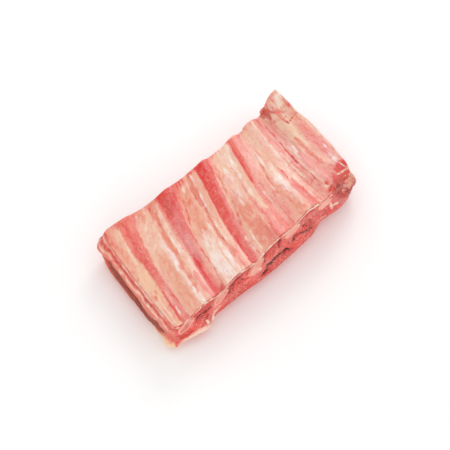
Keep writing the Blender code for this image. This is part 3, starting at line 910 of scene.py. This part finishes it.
def coverField(u, v):
    # The bone side at points of the unit square: place, colour, how glossy and how bare it is, and flow
    x, y = planPoint(u, v)
    share = ribShare(x, y)
    pitch = ribPitch(share, y)
    across, along = share * cover["perShare"], v * slabWidth
    tint = np.broadcast_to(palette[cover["base"]], (*u.shape, 3)).copy()
    relief, fat = np.zeros(u.shape), np.ones(u.shape)
    drift = cover["wander"] * lumpy(across, along, 16, 22, 11)
    jag = cover["jag"] * lumpy(across, along, 9, 3.2, 21)
    a = share + (drift + 0.25 * jag) / pitch
    b = v + 1.5 * mm * lumpy(across, along, 7, 15, 31) / slabWidth
    raw, strips = np.zeros(u.shape), []
    fibre = lumpy(across, along, 6, 1.3, 91, 2)
    for strip in bareStrips:
        ragged = share + (0.35 * drift + strip["jag"] * jag) / pitch
        left, right = eased(strip["left"], v), eased(strip["right"], v)
        inside = np.minimum(ragged - left, right - ragged) * pitch
        mask = strip["strength"]
        for inward, soft in zip((ragged - left, right - ragged), strip["soft"]):
            mask = mask * smooth(-soft * mm, soft * mm, inward * pitch + cover["fringe"] * fibre)
        flare = smooth(0.68, 1, v)
        halo = smooth(-6 * mm - 5 * mm * flare, 0, inside) * (0.45 + 0.35 * flare)
        strips.append((strip, mask, np.clip((share - left) / (right - left), 0, 1)))
        tint = mixed(tint, mixed(palette["petal"], palette["pink"], flare), halo)
    seed = 300
    for strokes in (leftOfRibs, firstBay, secondBay, thirdBay, fourthBay, fifthBay, rightEnd, farEdge):
        seed += 1000
        layStrokes(strokes, a, b, pitch, slabWidth, tint, relief, fat, cover["tear"], seed)
    for strip, mask, t in strips:
        stations, *sides = zip(*[row.split() for row in strip["across"].split(",")])
        stations = np.array(stations, float)
        sides = [np.array([palette[name] for name in side]) for side in sides]
        left, middle, right = [np.stack([np.interp(b, stations, side[:, n]) for n in range(3)], -1)
                               for side in sides]
        toMiddle = (1 - np.abs(2 * np.clip(t * 1.15 - 0.075, 0, 1) - 1))[..., None]
        flank = np.where((t < 0.5)[..., None], left, right)
        colour = flank + (middle - flank) * smooth(0.15, 0.85, toMiddle)
        seed += 1000
        blotch = lumpy(across, along, 3.5, 7, seed)
        pale = np.maximum(smooth(0.1, 0.5, blotch) * 0.25, smooth(0.25, 0.7, fibre) * 0.3)
        colour = mixed(colour, palette["petal"], pale)
        colour = mixed(colour, palette["boneRed"], smooth(-0.1, -0.5, blotch) * 0.4)
        tint = mixed(tint, colour, mask)
        relief = relief * (1 - 0.6 * mask) - cover["stripSink"] * mask
        raw = np.maximum(raw, mask)
    layStrokes(ribDetails, a, b, pitch, slabWidth, tint, relief, fat, cover["tear"], 9000)
    raw = np.maximum(raw, 0.8 * smooth(6.15, 6.3, a) * (1 - smooth(0.6, 0.75, b)))
    streak = lumpy(a * cover["perShare"], b * slabWidth, 2.6, 24, 81)
    cloud = lumpy(across, along, 6, 9, 84)
    shade = 1 + 0.11 * streak + 0.1 * cloud
    tint = tint * np.stack([1 + 0.35 * (shade - 1), shade, shade], -1)
    fleck = lumpy(across, along, 1.7, 3.6, 87, 2) + 0.2 * lumpy(across, along, 13, 9, 88)
    reddened = smooth(0.4, 0.7, fleck) * (0.2 + 0.12 * smooth(4, 5, share))
    tint = mixed(tint, tint * palette["boneRed"] * 1.15, reddened)
    tint = mixed(tint, palette["gloss"], smooth(-0.42, -0.7, fleck) * 0.2 * (1 - raw))
    tint[..., 0] += (cover["redness"] - tint[..., 0]) * cover["evenRed"]
    # Painted shade: the red is lowered towards the right end, which the key lamp lights more strongly.
    tint[..., 0] *= 1 - 0.07 * smooth(4.4, 5.8, share)
    tint = np.clip(tint * cover["warmth"], 0, 1)
    base = slabHeight(x, y, u, v)
    paintCutEnd(np.stack([x, y, base], -1), tint, relief, fat)
    base = base + 0.6 * np.maximum(relief, -2 * mm)
    top = base
    for rib in ribs[:-1]:  # the skin lies over each bone's oval crown
        centreX, centreZ, halfWidth, halfDepth, roll = ribSection(rib, y)
        spread = (halfWidth * np.cos(roll)) ** 2 + (halfDepth * np.sin(roll)) ** 2
        off = x - centreX
        lean = off * (halfWidth ** 2 - halfDepth ** 2) * np.sin(roll) * np.cos(roll)
        arch = halfWidth * halfDepth * np.sqrt(np.maximum(0, spread - off ** 2))
        crown = centreZ + (lean + arch) / spread + cover["overBone"] - 0.4 * cover["stripSink"]
        crown = np.where(np.abs(off) < np.sqrt(spread), crown, -1)
        gap = np.maximum(crown - top, -8 * mm)
        top = top + (gap + np.sqrt(gap ** 2 + (2 * mm) ** 2)) / 2 * smooth(-8 * mm, -3 * mm, gap)
    wet = smooth(0.62, 0.78, tint @ np.array([0.3, 0.6, 0.1]))
    wrinkle = 1 - np.abs(lumpy(a * cover["perShare"], b * slabWidth, 5, 9, 41))
    top = top + 0.55 * mm * wet * (wrinkle - 0.8)
    top = top + 0.45 * mm * lumpy(across, along, 14, 30, 51) + 0.12 * mm * lumpy(across, along, 2.4, 6, 61)
    return x, y, top, tint, wet, raw, np.stack([across, along], -1)


def makeCover():
    columns, rows, step = cover["columns"], cover["rows"], cover["bottomStep"]
    ringU, ringV = squareRing(columns, rows)
    x, y, z, tint, wet, raw, flow = coverField(ringU, ringV)
    outX, outY = outward(ringU, ringV)
    run, layers = np.arange(len(ringU)) * cover["ringSpacing"], []
    uneven = lambda size, level, seed: rough(run / size, run * 0 + level, seed)

    def addRing(out, down, *values):
        layers.append((np.stack([x + outX * out, y + outY * out, z - down], -1), *values))

    thin, thick = cover["edge"]
    edge = thin + (thick - thin) * (0.5 + 0.5 * uneven(14, 0.5, 71))
    frill = 0.35 * mm * uneven(5, 3.5, 72)
    r = cover["rounding"]
    for turn in np.radians([0, 22, 45, 67, 90]):
        out, down = r * math.sin(turn), r * (1 - math.cos(turn))
        addRing(out + frill * out / r, down, tint, wet, raw, flow + down)
    torn = smooth(-0.3, 0.25, uneven(9, 5.5, 73)) * (1 - 0.6 * raw)
    cutEdge = mixed(palette["boneRose"], palette["ivory"], torn)
    red = palette["blood"] * np.ones_like(tint)
    for share, inward, creamShare in pairs(cover["edgeSteps"]):
        down = r + (edge - r * 0.4) * share
        under = red if creamShare < 0.5 else tint
        addRing(r + frill + inward * mm, down, under * (1 - creamShare) + cutEdge * creamShare,
                wet * 0, raw * 0, flow + down[:, None])
    faces = shellFaces(columns, rows, len(layers), 1, step)
    for rowStep, depth in ((1, 0), (step, cover["depth"])):
        x, y, z, tint, wet, raw, flow = coverField(*innerGrid(columns, rows, rowStep))
        layers.append((np.stack([x, y, z - depth], -1), tint, wet, raw, flow))
    points, tints, wets, raws, flows = joined(layers)
    addPiece("fatCover", points, faces, tints, {"wet": wets, "raw": raws}, flows, membrane, "meat", "meat")


makeCover()

# The meat below the bone side. Places on its walls are (way round, height share): 0 to 1 along the near
# wall, 1 to 2 up the right one, 2 to 3 back along the far one and 3 to 4 down the left one.
meat = {
    "columns": 288, "rows": 160, "wallRows": 60, "topStep": 20, "bottomStep": 4, "height": 42 * mm,
    "underCover": 3.0 * mm, "inset": 0.5 * mm, "meetsLip": 1.9 * mm,
    "lump": 0.9 * mm, "bundle": 0.35 * mm, "undersideLift": 6 * mm, "undersideMargin": 16 * mm,
    "footWidth": 14 * mm, "boneRecess": 0.9 * mm,
    "tear": (2.6 * mm, 2.2 * mm), "leftTear": (11 * mm, 4 * mm),
}
walls = {  # how far each wall stands out of the outline, by height share, as in the CAD
    "near": "0,0 .2,7 .75,1 1,0",
    "far": "0,-5 .35,1 .7,2 1,0",
    "left": "0,5 .2,11.5 .45,5 .7,9 1,0",
    "right": "0,-3 .35,6 .7,6 1,0",
}
lobes = {  # and how their lower parts swell and shrink along them
    "near": "0,-5 .05,0 .13,5 .2,-2 .34,0 .5,3 .7,1.5 .79,-5 .9,-2 1,-2",
    "left": "0,0 .07,-2.5 .2,-1.5 .3,0 .8,0 1,5",
    "right": "0,5 .1,2 .2,-1 .35,0 1,0",
}
cornerBulge = 4  # the near right corner's wall swells by this much, in millimetres
nearLeftFoot = 7  # the foot of the near left corner lies this much further out, over a few millimetres
farLeftTuck = 9  # the foot of the far left corner lies this much further in
# The gap strokes are sunk crevices between the muscles, their shade painted near-black.
nearWall = strokeRows("""
ruby 11 .75 .6 -.5  .09,.8 .18,.8
ruby 12 .8 .6 -.6  .27,.82 .365,.84
ruby 11 .8 .6 -.6  .46,.8 .555,.84
ruby 7 .7 .6 -.5  .65,.88 .74,.9
coral 6 .5 .8 .2  .28,.42 .4,.46 .6,.62 .78,.7
coral 5 .5 .8 .2  .08,.45 .2,.5 .28,.4
ruby 9 .35 .9  .22,.22 .45,.2 .72,.24
blood 1.8 .75  0,.9 .25,.9 .5,.9 .82,.9
ivory 2.4 .9 .5 .2  0,.96 .5,.96 .83,.96
suet 9 .95 .4 .5  0,.12 .03,.17 .07,.22 .13,.25
butter 8 .9 .5 .3  0,.02 .02,.05
blood 2.6 .85 .6 -.3  .045,.045 .1,.1
ruby 3 .7 .7 -.3  0,.38 .07,.4
ivory 4 .9 .5 .4  .13,.36 .16,.32 .172,.16 .15,.04
suet 5 .9 .6 .3  .175,.36 .2,.42
suet 3 .55 .7 .2  .215,.02 .232,.12
suet 3.4 .9 .7 .2  .385,.56 .43,.56
suet 2.6 .95 .5 .3  .833,.7 .84,.52 .84,.36
suet 3 .95 .5 .3  .84,.52 .868,.42
suet 3 .5 .7 .2  .765,.36 .8,.3
gap 2.6 .95 .5 -2  .1,.63 .125,.64
gap 1.8 .9 .5 -1.5  .14,.62 .168,.6
ruby 1.8 .9 .7 -1  .12,.46 .15,.5
gap 3.2 .95 .5 -2.2  .272,.6 .285,.66 .297,.72 .31,.77
gap 2 .85 .6 -1.4  .29,.58 .3,.66
gap 2.2 .85 .5 -1.6  .31,.78 .33,.74 .342,.62
ruby 2.2 .9 .6 -.8  .32,.6 .33,.5
gap 2.6 .95 .5 -1.8  .42,.34 .44,.37 .455,.36
gap 2.8 .95 .5 -1.8  .455,.42 .47,.44 .485,.41
gap 1.8 .8 .6 -1.2  .48,.45 .51,.47 .53,.45
gap 2.6 .9 .5 -1.8  .53,.44 .55,.42 .565,.46
gap 2.2 .85 .6 -1.4  .57,.44 .58,.38 .6,.35
gap 3.2 .95 .5 -2.2  .612,.5 .62,.53 .63,.58
gap 2.2 .9 .5 -1.6  .635,.53 .655,.51 .668,.47
gap 1.8 .75 .6 -1.2  .67,.45 .69,.43 .71,.41
gap 1.6 .85 .5 -.9  .675,.61 .715,.6
ruby 1.2 .9 .6 -.7  .68,.54 .72,.54
ruby 1.2 .9 .6 -.7  .68,.49 .73,.48
gap 2.8 .6 .6 -1.2  .462,.64 .467,.78
gap 3.4 .75 .6 -1.2  .54,.64 .55,.78
gap 2.6 .9 .5 -1.6  .66,.88 .685,.93 .715,.9
rust 8 .7  .99,.1 1.05,.12
""")
# The bark line paints dark shade along a sunk crease in the brown band.
leftWall = strokeRows("""
sidePink 21 .97 .4  3,.58 4,.58
muscle 6 .3 .9 -.2  3.8,.5 3.77,.74
muscle 4 .35 .9 -.3  3.58,.5 3.57,.74
muscle 5 .3 .9 -.2  3.32,.5 3.3,.74
petal 2 .45 .8 .2  3.3,.62 3.9,.64
petal 1.6 .4 .8 .2  3.1,.48 3.6,.5
muscle 6 .8 .8 -.5  3.2,.76 3.17,.45
petal 4 .8 .6 .2  3,.96 4,.96
ember 3 .35 .8 -.2  3,.87 4,.87
suet 2 .7 .7 .3  3,.8 4,.8
sideTan 9 .96 .6  3,.12 3.86,.12
cocoa 4 .96 .7 -1.2  3.1,.36 3.3,.3 3.52,.33 3.68,.27 3.88,.3
cocoa 5 .96 .8 -.8  3.2,.29 3.45,.27
cocoa 7 .96 .8 -1  3.5,.26 3.76,.22
bark 1.2 .9 .6 -.5  3.25,.24 3.5,.31 3.8,.18
cocoa 6 .7 .7 -.8  3.72,.2 3.82,.14
petal 1.4 .7 .6 .4  3.08,.43 3.4,.41 3.7,.38 3.92,.38
butter 13 .95 .5 .4  3.84,.08 4.03,.14
""")


def redBeads():  # an uneven row of short red bulges of muscle under the cover's left edge
    rng = np.random.default_rng(23)
    return [([(way + 0.012 * rng.uniform(-1, 1), 0.87 + 0.02 * rng.uniform(-1, 1))],
             (rng.uniform(3, 8), rng.uniform(0.5, 1.3)), "blood", 0.9, 0.1, 0.6)
            for way in np.linspace(3.03, 3.97, 15)]


def hiddenWalls():
    # The far and right walls, in the manner of the near one: layers of fat along the wall, short sunk gaps
    # between the muscles under each bay with their shade painted near-black, and a few wedges of fat
    rng = np.random.default_rng(17)
    strokes = [(((1.0, 0.62), (1.12, 0.6)), 16, "rust", 0.6, 0, 0.8),
               (((1.02, 0.6),), (7, 10), "clay", 0.7, 0.3, 0.6)]
    for start, end, height in ((1.08, 1.62, 0.66), (1.5, 1.98, 0.5), (1.1, 1.9, 0.24), (2.02, 2.5, 0.42),
                               (2.42, 2.98, 0.34), (2.1, 2.7, 0.2)):
        ways = np.linspace(start, end, 7)
        path = tuple((way, height + 0.05 * rng.uniform(-1, 1)) for way in ways)
        strokes.append((path, rng.uniform(1.4, 3), "suet", 0.8, 0.3, 0.7))
    for way in np.concatenate([np.linspace(1.1, 1.9, 6), np.linspace(2.05, 2.93, 13)]):
        way, height = way + 0.02 * rng.uniform(-1, 1), rng.uniform(0.4, 0.78)
        tilt, length = rng.uniform(-0.09, 0.09), rng.uniform(0.012, 0.03)
        strokes.append((((way - length, height - tilt), (way, height), (way + length, height + tilt)),
                        rng.uniform(1.8, 3.6), "gap", 0.8, -1.6, 0.6))
    for way in (1.3, 1.72, 2.2, 2.62, 2.85):
        height = rng.uniform(0.1, 0.4)
        strokes.append((((way, height), (way + 0.02, height - 0.14)), 4.5, "ivory", 0.8, 0.3, 0.6))
    strokes.append((((1.0, 0.93), (2.0, 0.93), (3.0, 0.93)), 2.5, "blood", 0.6, -0.4, 0.7))
    return strokes


def wallOffset(u, v, w):  # how far the wall stands out, shared between the two walls that meet at a corner
    kx, ky = nearness(u, v)
    low, lower = 1 - smooth(0.65, 1, w), 1 - smooth(0.2, 0.8, w)
    left = eased(walls["left"], w) + eased(lobes["left"], v) * low
    left = left - farLeftTuck * smooth(0.8, 1, v) * (1 - smooth(0.25, 0.55, w))
    left = left + nearLeftFoot * (1 - smooth(0, 0.1, v)) * (1 - smooth(0.1, 0.35, w))
    right = eased(walls["right"], w) * (0.3 + 0.7 * smooth(0.05, 0.3, v)) + eased(lobes["right"], v) * low
    bulge = cornerBulge * smooth(0.25, 0.6, w) * (1 - smooth(0.8, 1, w))
    bulge = bulge * smooth(0.88, 0.96, u) * (1 - smooth(0, 0.07, v))
    sideX = np.where(u < 0.5, left, right + bulge)
    near = eased(walls["near"], w) + eased(lobes["near"], u) * lower + bulge
    sideY = np.where(v < 0.5, near, eased(walls["far"], w))
    return (kx ** 2 * sideX + ky ** 2 * sideY) / (kx ** 2 + ky ** 2 + 1e-9) * mm


def boneNearness(x, y, z):  # metres from the nearest bone's section edge in x and z; negative inside it
    nearest = np.full(x.shape, 1.0)
    for rib in ribs:
        centreX, centreZ, halfWidth, halfDepth, roll = ribSection(rib, y)
        dx, dz = x - centreX, z - centreZ
        major = dx * np.cos(roll) + dz * np.sin(roll)
        minor = dz * np.cos(roll) - dx * np.sin(roll)
        reach = np.hypot(major / halfWidth, minor / halfDepth)
        nearest = np.minimum(nearest, (reach - 1) * halfDepth)
    return nearest


def makeMeat():
    columns, rows = meat["columns"], meat["rows"]
    ringU, ringV = squareRing(columns, rows)
    around = len(ringU)
    way = np.concatenate([ringU[:columns], 1 + ringV[columns:columns + rows],
                          3 - ringU[columns + rows:2 * columns + rows], 4 - ringV[2 * columns + rows:]])
    x, y = planPoint(ringU, ringV)
    top = slabHeight(x, y, ringU, ringV)
    outX, outY = outward(ringU, ringV)
    w = np.linspace(1, 0, meat["wallRows"])[:, None]
    u, v = np.broadcast_to(ringU, (len(w), around)), np.broadcast_to(ringV, (len(w), around))
    place = np.broadcast_to(way, (len(w), around))
    perWay = np.where((place < 1) | ((place >= 2) & (place < 3)), slabLength, slabWidth)
    perHeight = meat["height"]
    run = np.cumsum(np.hypot(np.diff(x, append=x[0]), np.diff(y, append=y[0]))) + 0 * w
    level = w * perHeight + 0 * run
    drift = 1.4 * mm * lumpy(run, level, 13, 9, 101)
    a = place + drift / perWay
    b = w + 1.3 * mm * lumpy(run, level, 8, 7, 111) / perHeight
    tint = mixed(palette["muscle"], palette["ruby"], 0.3 + 0.3 * lumpy(run, level, 19, 11, 121))
    tint = mixed(tint, palette["coral"], smooth(0.1, 0.5, lumpy(run, level, 7, 2.5, 125)) * 0.7)
    tint = mixed(tint, palette["boneRed"], smooth(0.15, 0.5, lumpy(run, level, 5, 4, 127)) * 0.7)
    relief = np.zeros(a.shape)
    seamNoise = np.abs(rough(run / (17 * mm) + level / (20 * mm), level / (8 * mm), 131))
    seams = (1 - smooth(0.0, 0.05, seamNoise)) * 0.55
    tint, fat = mixed(tint, palette["petal"], seams), seams * 0.6
    for strokes, tear, seed in ((leftWall, "leftTear", 11000), (redBeads(), "tear", 11500),
                                (nearWall, "tear", 12000), (hiddenWalls(), "tear", 13000)):
        layStrokes(strokes, a, b, perWay, perHeight, tint, relief, fat, meat[tear], seed)
    lift = meat["undersideLift"]
    z = lift + (top - meat["underCover"] * 0.6 - lift) * w
    fullness = np.sin(math.pi * np.clip(w, 0, 1)) ** 0.5
    relief = relief + meat["lump"] * lumpy(run, level, 22, 15, 141) * fullness
    relief = relief + meat["bundle"] * lumpy(run, level, 4, 3, 151) * (1 - 0.6 * fat)
    bone = boneNearness(x + 0 * z, y + 0 * z, z)
    crossCut = np.abs(outY) > 0.8
    torn = 1.2 * mm * lumpy(run, level, 3, 3, 155)
    rim = (1 - smooth(0.9 * mm, 1.9 * mm, bone + torn)) * 0.7 * crossCut * (1 - smooth(0.82, 0.88, u))
    tint = mixed(tint, palette["cortex"], rim)
    relief = relief - meat["boneRecess"] * (1 - smooth(0, 1.5 * mm, bone)) * crossCut
    standing = wallOffset(u, v, w)
    paintCutEnd(np.stack([x + outX * standing, y + outY * standing, z], -1), tint, relief, fat)
    offset = standing - meat["inset"] + relief * (1 - smooth(0.86, 0.95, w))
    offset = offset + meat["meetsLip"] * smooth(0.84, 0.95, w)
    points = np.stack([x + outX * offset, y + outY * offset, z], -1)
    layers = [(points, tint, fat, np.stack([run, level], -1))]
    for step, isTop in ((meat["topStep"], True), (meat["bottomStep"], False)):
        u, v = innerGrid(columns, rows, step)
        x, y = planPoint(u, v)
        distance = np.minimum(np.minimum(u, 1 - u) * slabLength, np.minimum(v, 1 - v) * slabWidth)
        if isTop:
            z = slabHeight(x, y, u, v) - meat["underCover"]
        else:  # the underside rises to the wall's foot over its last few millimetres
            ringShift = wallOffset(u, v, 0.0)
            edgeX, edgeY = outward(u, v)
            near = 1 - smooth(0, meat["footWidth"], distance)
            x, y = x + edgeX * ringShift * near, y + edgeY * ringShift * near
            z = lift * np.maximum(0, 1 - distance / meat["undersideMargin"]) ** 2
            z = z + 0.3 * mm * (1 + lumpy(x, y, 9, 9, 161)) * smooth(0, 20 * mm, distance)
        under = smooth(-0.05, 0.25, lumpy(x, y, 34, 26, 171))
        thin = 1 - smooth(0, 0.06, np.abs(lumpy(x, y, 15, 11, 181)))
        share = np.maximum(under * 0.8, thin * 0.6)
        tint = mixed(palette["muscle"], palette["suet"], share)
        layers.append((np.stack([x, y, z], -1), tint, share, np.stack([x, y], -1)))
    points, tints, fats, flows = joined(layers)
    faces = shellFaces(columns, rows, len(w), meat["topStep"], meat["bottomStep"])
    addPiece("chuckMeat", points, faces, tints, {"fat": fats}, flows, muscleFinish, "meat", "meat")


makeMeat()

ribPiece = {
    "around": 72, "stations": 50, "capRings": 12,
    "reach": 1.5 * mm,                      # how far the sawn ends stand past the CAD bone's
    "rim": 0.9, "outlineNoise": 0.05,       # dense rim from this radius share outwards
    "lastSinks": 6 * mm,                    # how far the last rib's far end dips under the flap's foot
    "insides": ("marrow", "marrowPale", "marrowPale", "marrowPale", "marrowPale", "clay"),
    "patches": ("marrowPale", "marrow", "cortex", "cortex", "cortex", "clay"),
    "rims": ("cortex", "cortex", "cortex", "cortex", "marrowPale", "clay"),
}


def makeRib(number):
    # Rings from the middle of the near end out to its rim, along the rib, and in to the far end's middle
    rib = ribs[number - 1]
    around = ribPiece["around"]
    caps = 1 - (1 - np.linspace(0.04, 0.985, ribPiece["capRings"])) ** 1.3
    nearY, farY = rib[0, 0] - ribPiece["reach"], rib[-1, 0] + ribPiece["reach"]
    body = np.linspace(nearY + 0.5 * mm, farY - 0.5 * mm, ribPiece["stations"])
    y = np.concatenate([np.full(len(caps), nearY), body, np.full(len(caps), farY)])
    radius = np.concatenate([caps, np.ones(len(body)), caps[::-1]])
    isCap = np.concatenate([np.ones(len(caps)), np.zeros(len(body)), np.ones(len(caps))])
    centreX, centreZ, halfWidth, halfDepth, roll = ribSection(rib, y[:, None])
    if number == ribCount:
        centreZ = centreZ - ribPiece["lastSinks"] * smooth(0.4, 0.9, (y - nearY) / (farY - nearY))[:, None]
    turn = np.arange(around) / around * 2 * math.pi
    wobble = np.sin(3 * turn + number) * 0.6 + np.sin(5 * turn + 2.3 * number) * 0.4
    wobble = 1 + ribPiece["outlineNoise"] * wobble
    across = halfWidth * np.cos(turn) * radius[:, None] * wobble
    up = halfDepth * np.sin(turn) * radius[:, None] * wobble
    px = centreX + across * np.cos(roll) - up * np.sin(roll)
    pz = centreZ + across * np.sin(roll) + up * np.cos(roll)
    py = y[:, None] + 0 * px
    pits = 0.25 * mm * lumpy(px, pz, 1.6, 1.6, 200 + number)
    dense = smooth(ribPiece["rim"] - 0.06, ribPiece["rim"] + 0.04, radius)
    spongy = (isCap * (1 - dense))[:, None] + 0 * px
    py = py + np.where(y < 0, 1, -1)[:, None] * spongy * (0.35 * mm + pits)
    points = np.stack([px, py, pz], -1)
    patchy = smooth(0.35, 0.8, lumpy(px, pz, 4, 3, 220 + number) * 0.5 + 0.5)
    rim, inside, patch = [palette[ribPiece[part][number - 1]] for part in ("rims", "insides", "patches")]
    tint = mixed(rim, mixed(inside, patch, patchy), spongy)
    points = np.concatenate([[points[0].mean(0)], points.reshape(-1, 3), [points[-1].mean(0)]])
    tints = np.concatenate([tint[0, :1], tint.reshape(-1, 3), tint[-1, :1]])
    masks = {"spongy": np.concatenate([[1], spongy.ravel(), [1]])}
    addPiece(f"ribBone{number}", points, tubeFaces(len(y), around), tints, masks, points[:, (0, 1)],
             boneFinish, "bone", f"rib_bone_{number}")


for number in range(1, ribCount + 1):
    makeRib(number)

# Floor, light and camera.
stage = {
    "floorSize": 6.0, "floorColour": (0.975, 0.975, 0.972),
    "worldStrength": 0.93,
    "keyPlace": (0.9, 0.5, 0.75), "keySize": 0.5, "keyPower": 3.3,
    "fillPlace": (-1.1, -1.1, 0.5), "fillSize": 0.8, "fillPower": 3,
    "azimuth": -45, "elevation": 55, "distance": 1.6, "lens": 113.92,
    "aim": (-4 * mm, 1.5 * mm, 24 * mm), "shiftRight": 2.81 * mm, "shiftUp": 6.74 * mm,
}


def makeStage():
    size = stage["floorSize"]
    mesh = bpy.data.meshes.new("floor")
    corners = [(-size, -size, 0), (size, -size, 0), (size, size, 0), (-size, size, 0)]
    mesh.from_pydata(corners, [], [(0, 1, 2, 3)])
    look = {"Roughness": 0.9, "Base Color": (*stage["floorColour"], 1)}
    mesh.materials.append(newMaterial("paleFloor", look)[0])
    floor = bpy.data.objects.new("floor", mesh)
    bpy.context.scene.collection.objects.link(floor)
    floor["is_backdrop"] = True
    world = bpy.data.worlds.new("studio")
    world.use_nodes = True
    world.node_tree.nodes["Background"].inputs[0].default_value = (1, 1, 1, 1)
    world.node_tree.nodes["Background"].inputs[1].default_value = stage["worldStrength"]
    bpy.context.scene.world = world
    for name in ("key", "fill"):
        light = bpy.data.lights.new(name, "AREA")
        light.energy, light.size = stage[name + "Power"], stage[name + "Size"]
        lamp = bpy.data.objects.new(name, light)
        lamp.location = stage[name + "Place"]
        lamp.rotation_euler = (Vector((0, 0, 0)) - lamp.location).to_track_quat("-Z", "Y").to_euler()
        bpy.context.scene.collection.objects.link(lamp)


def makeCamera():
    azimuth, elevation = math.radians(stage["azimuth"]), math.radians(stage["elevation"])
    right = Vector((math.cos(azimuth), math.sin(azimuth), 0))
    level = Vector((math.sin(azimuth), -math.cos(azimuth), 0))
    back = level * math.cos(elevation) + Vector((0, 0, math.sin(elevation)))
    up = back.cross(right)
    data = bpy.data.cameras.new("camera")
    data.lens, data.sensor_width = stage["lens"], 36
    camera = bpy.data.objects.new("camera", data)
    place = Vector(stage["aim"]) + back * stage["distance"]
    place = place - right * stage["shiftRight"] - up * stage["shiftUp"]
    turned = Matrix((right, up, back)).transposed().to_4x4()
    camera.matrix_world = Matrix.Translation(place) @ turned
    bpy.context.scene.collection.objects.link(camera)
    bpy.context.scene.camera = camera


makeStage()
makeCamera()
bpy.context.scene.view_settings.view_transform = "Standard"
print("stage set")

{"cad": [list(corner) for corner in cadBounds], "visual": [list(corner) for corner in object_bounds()]}
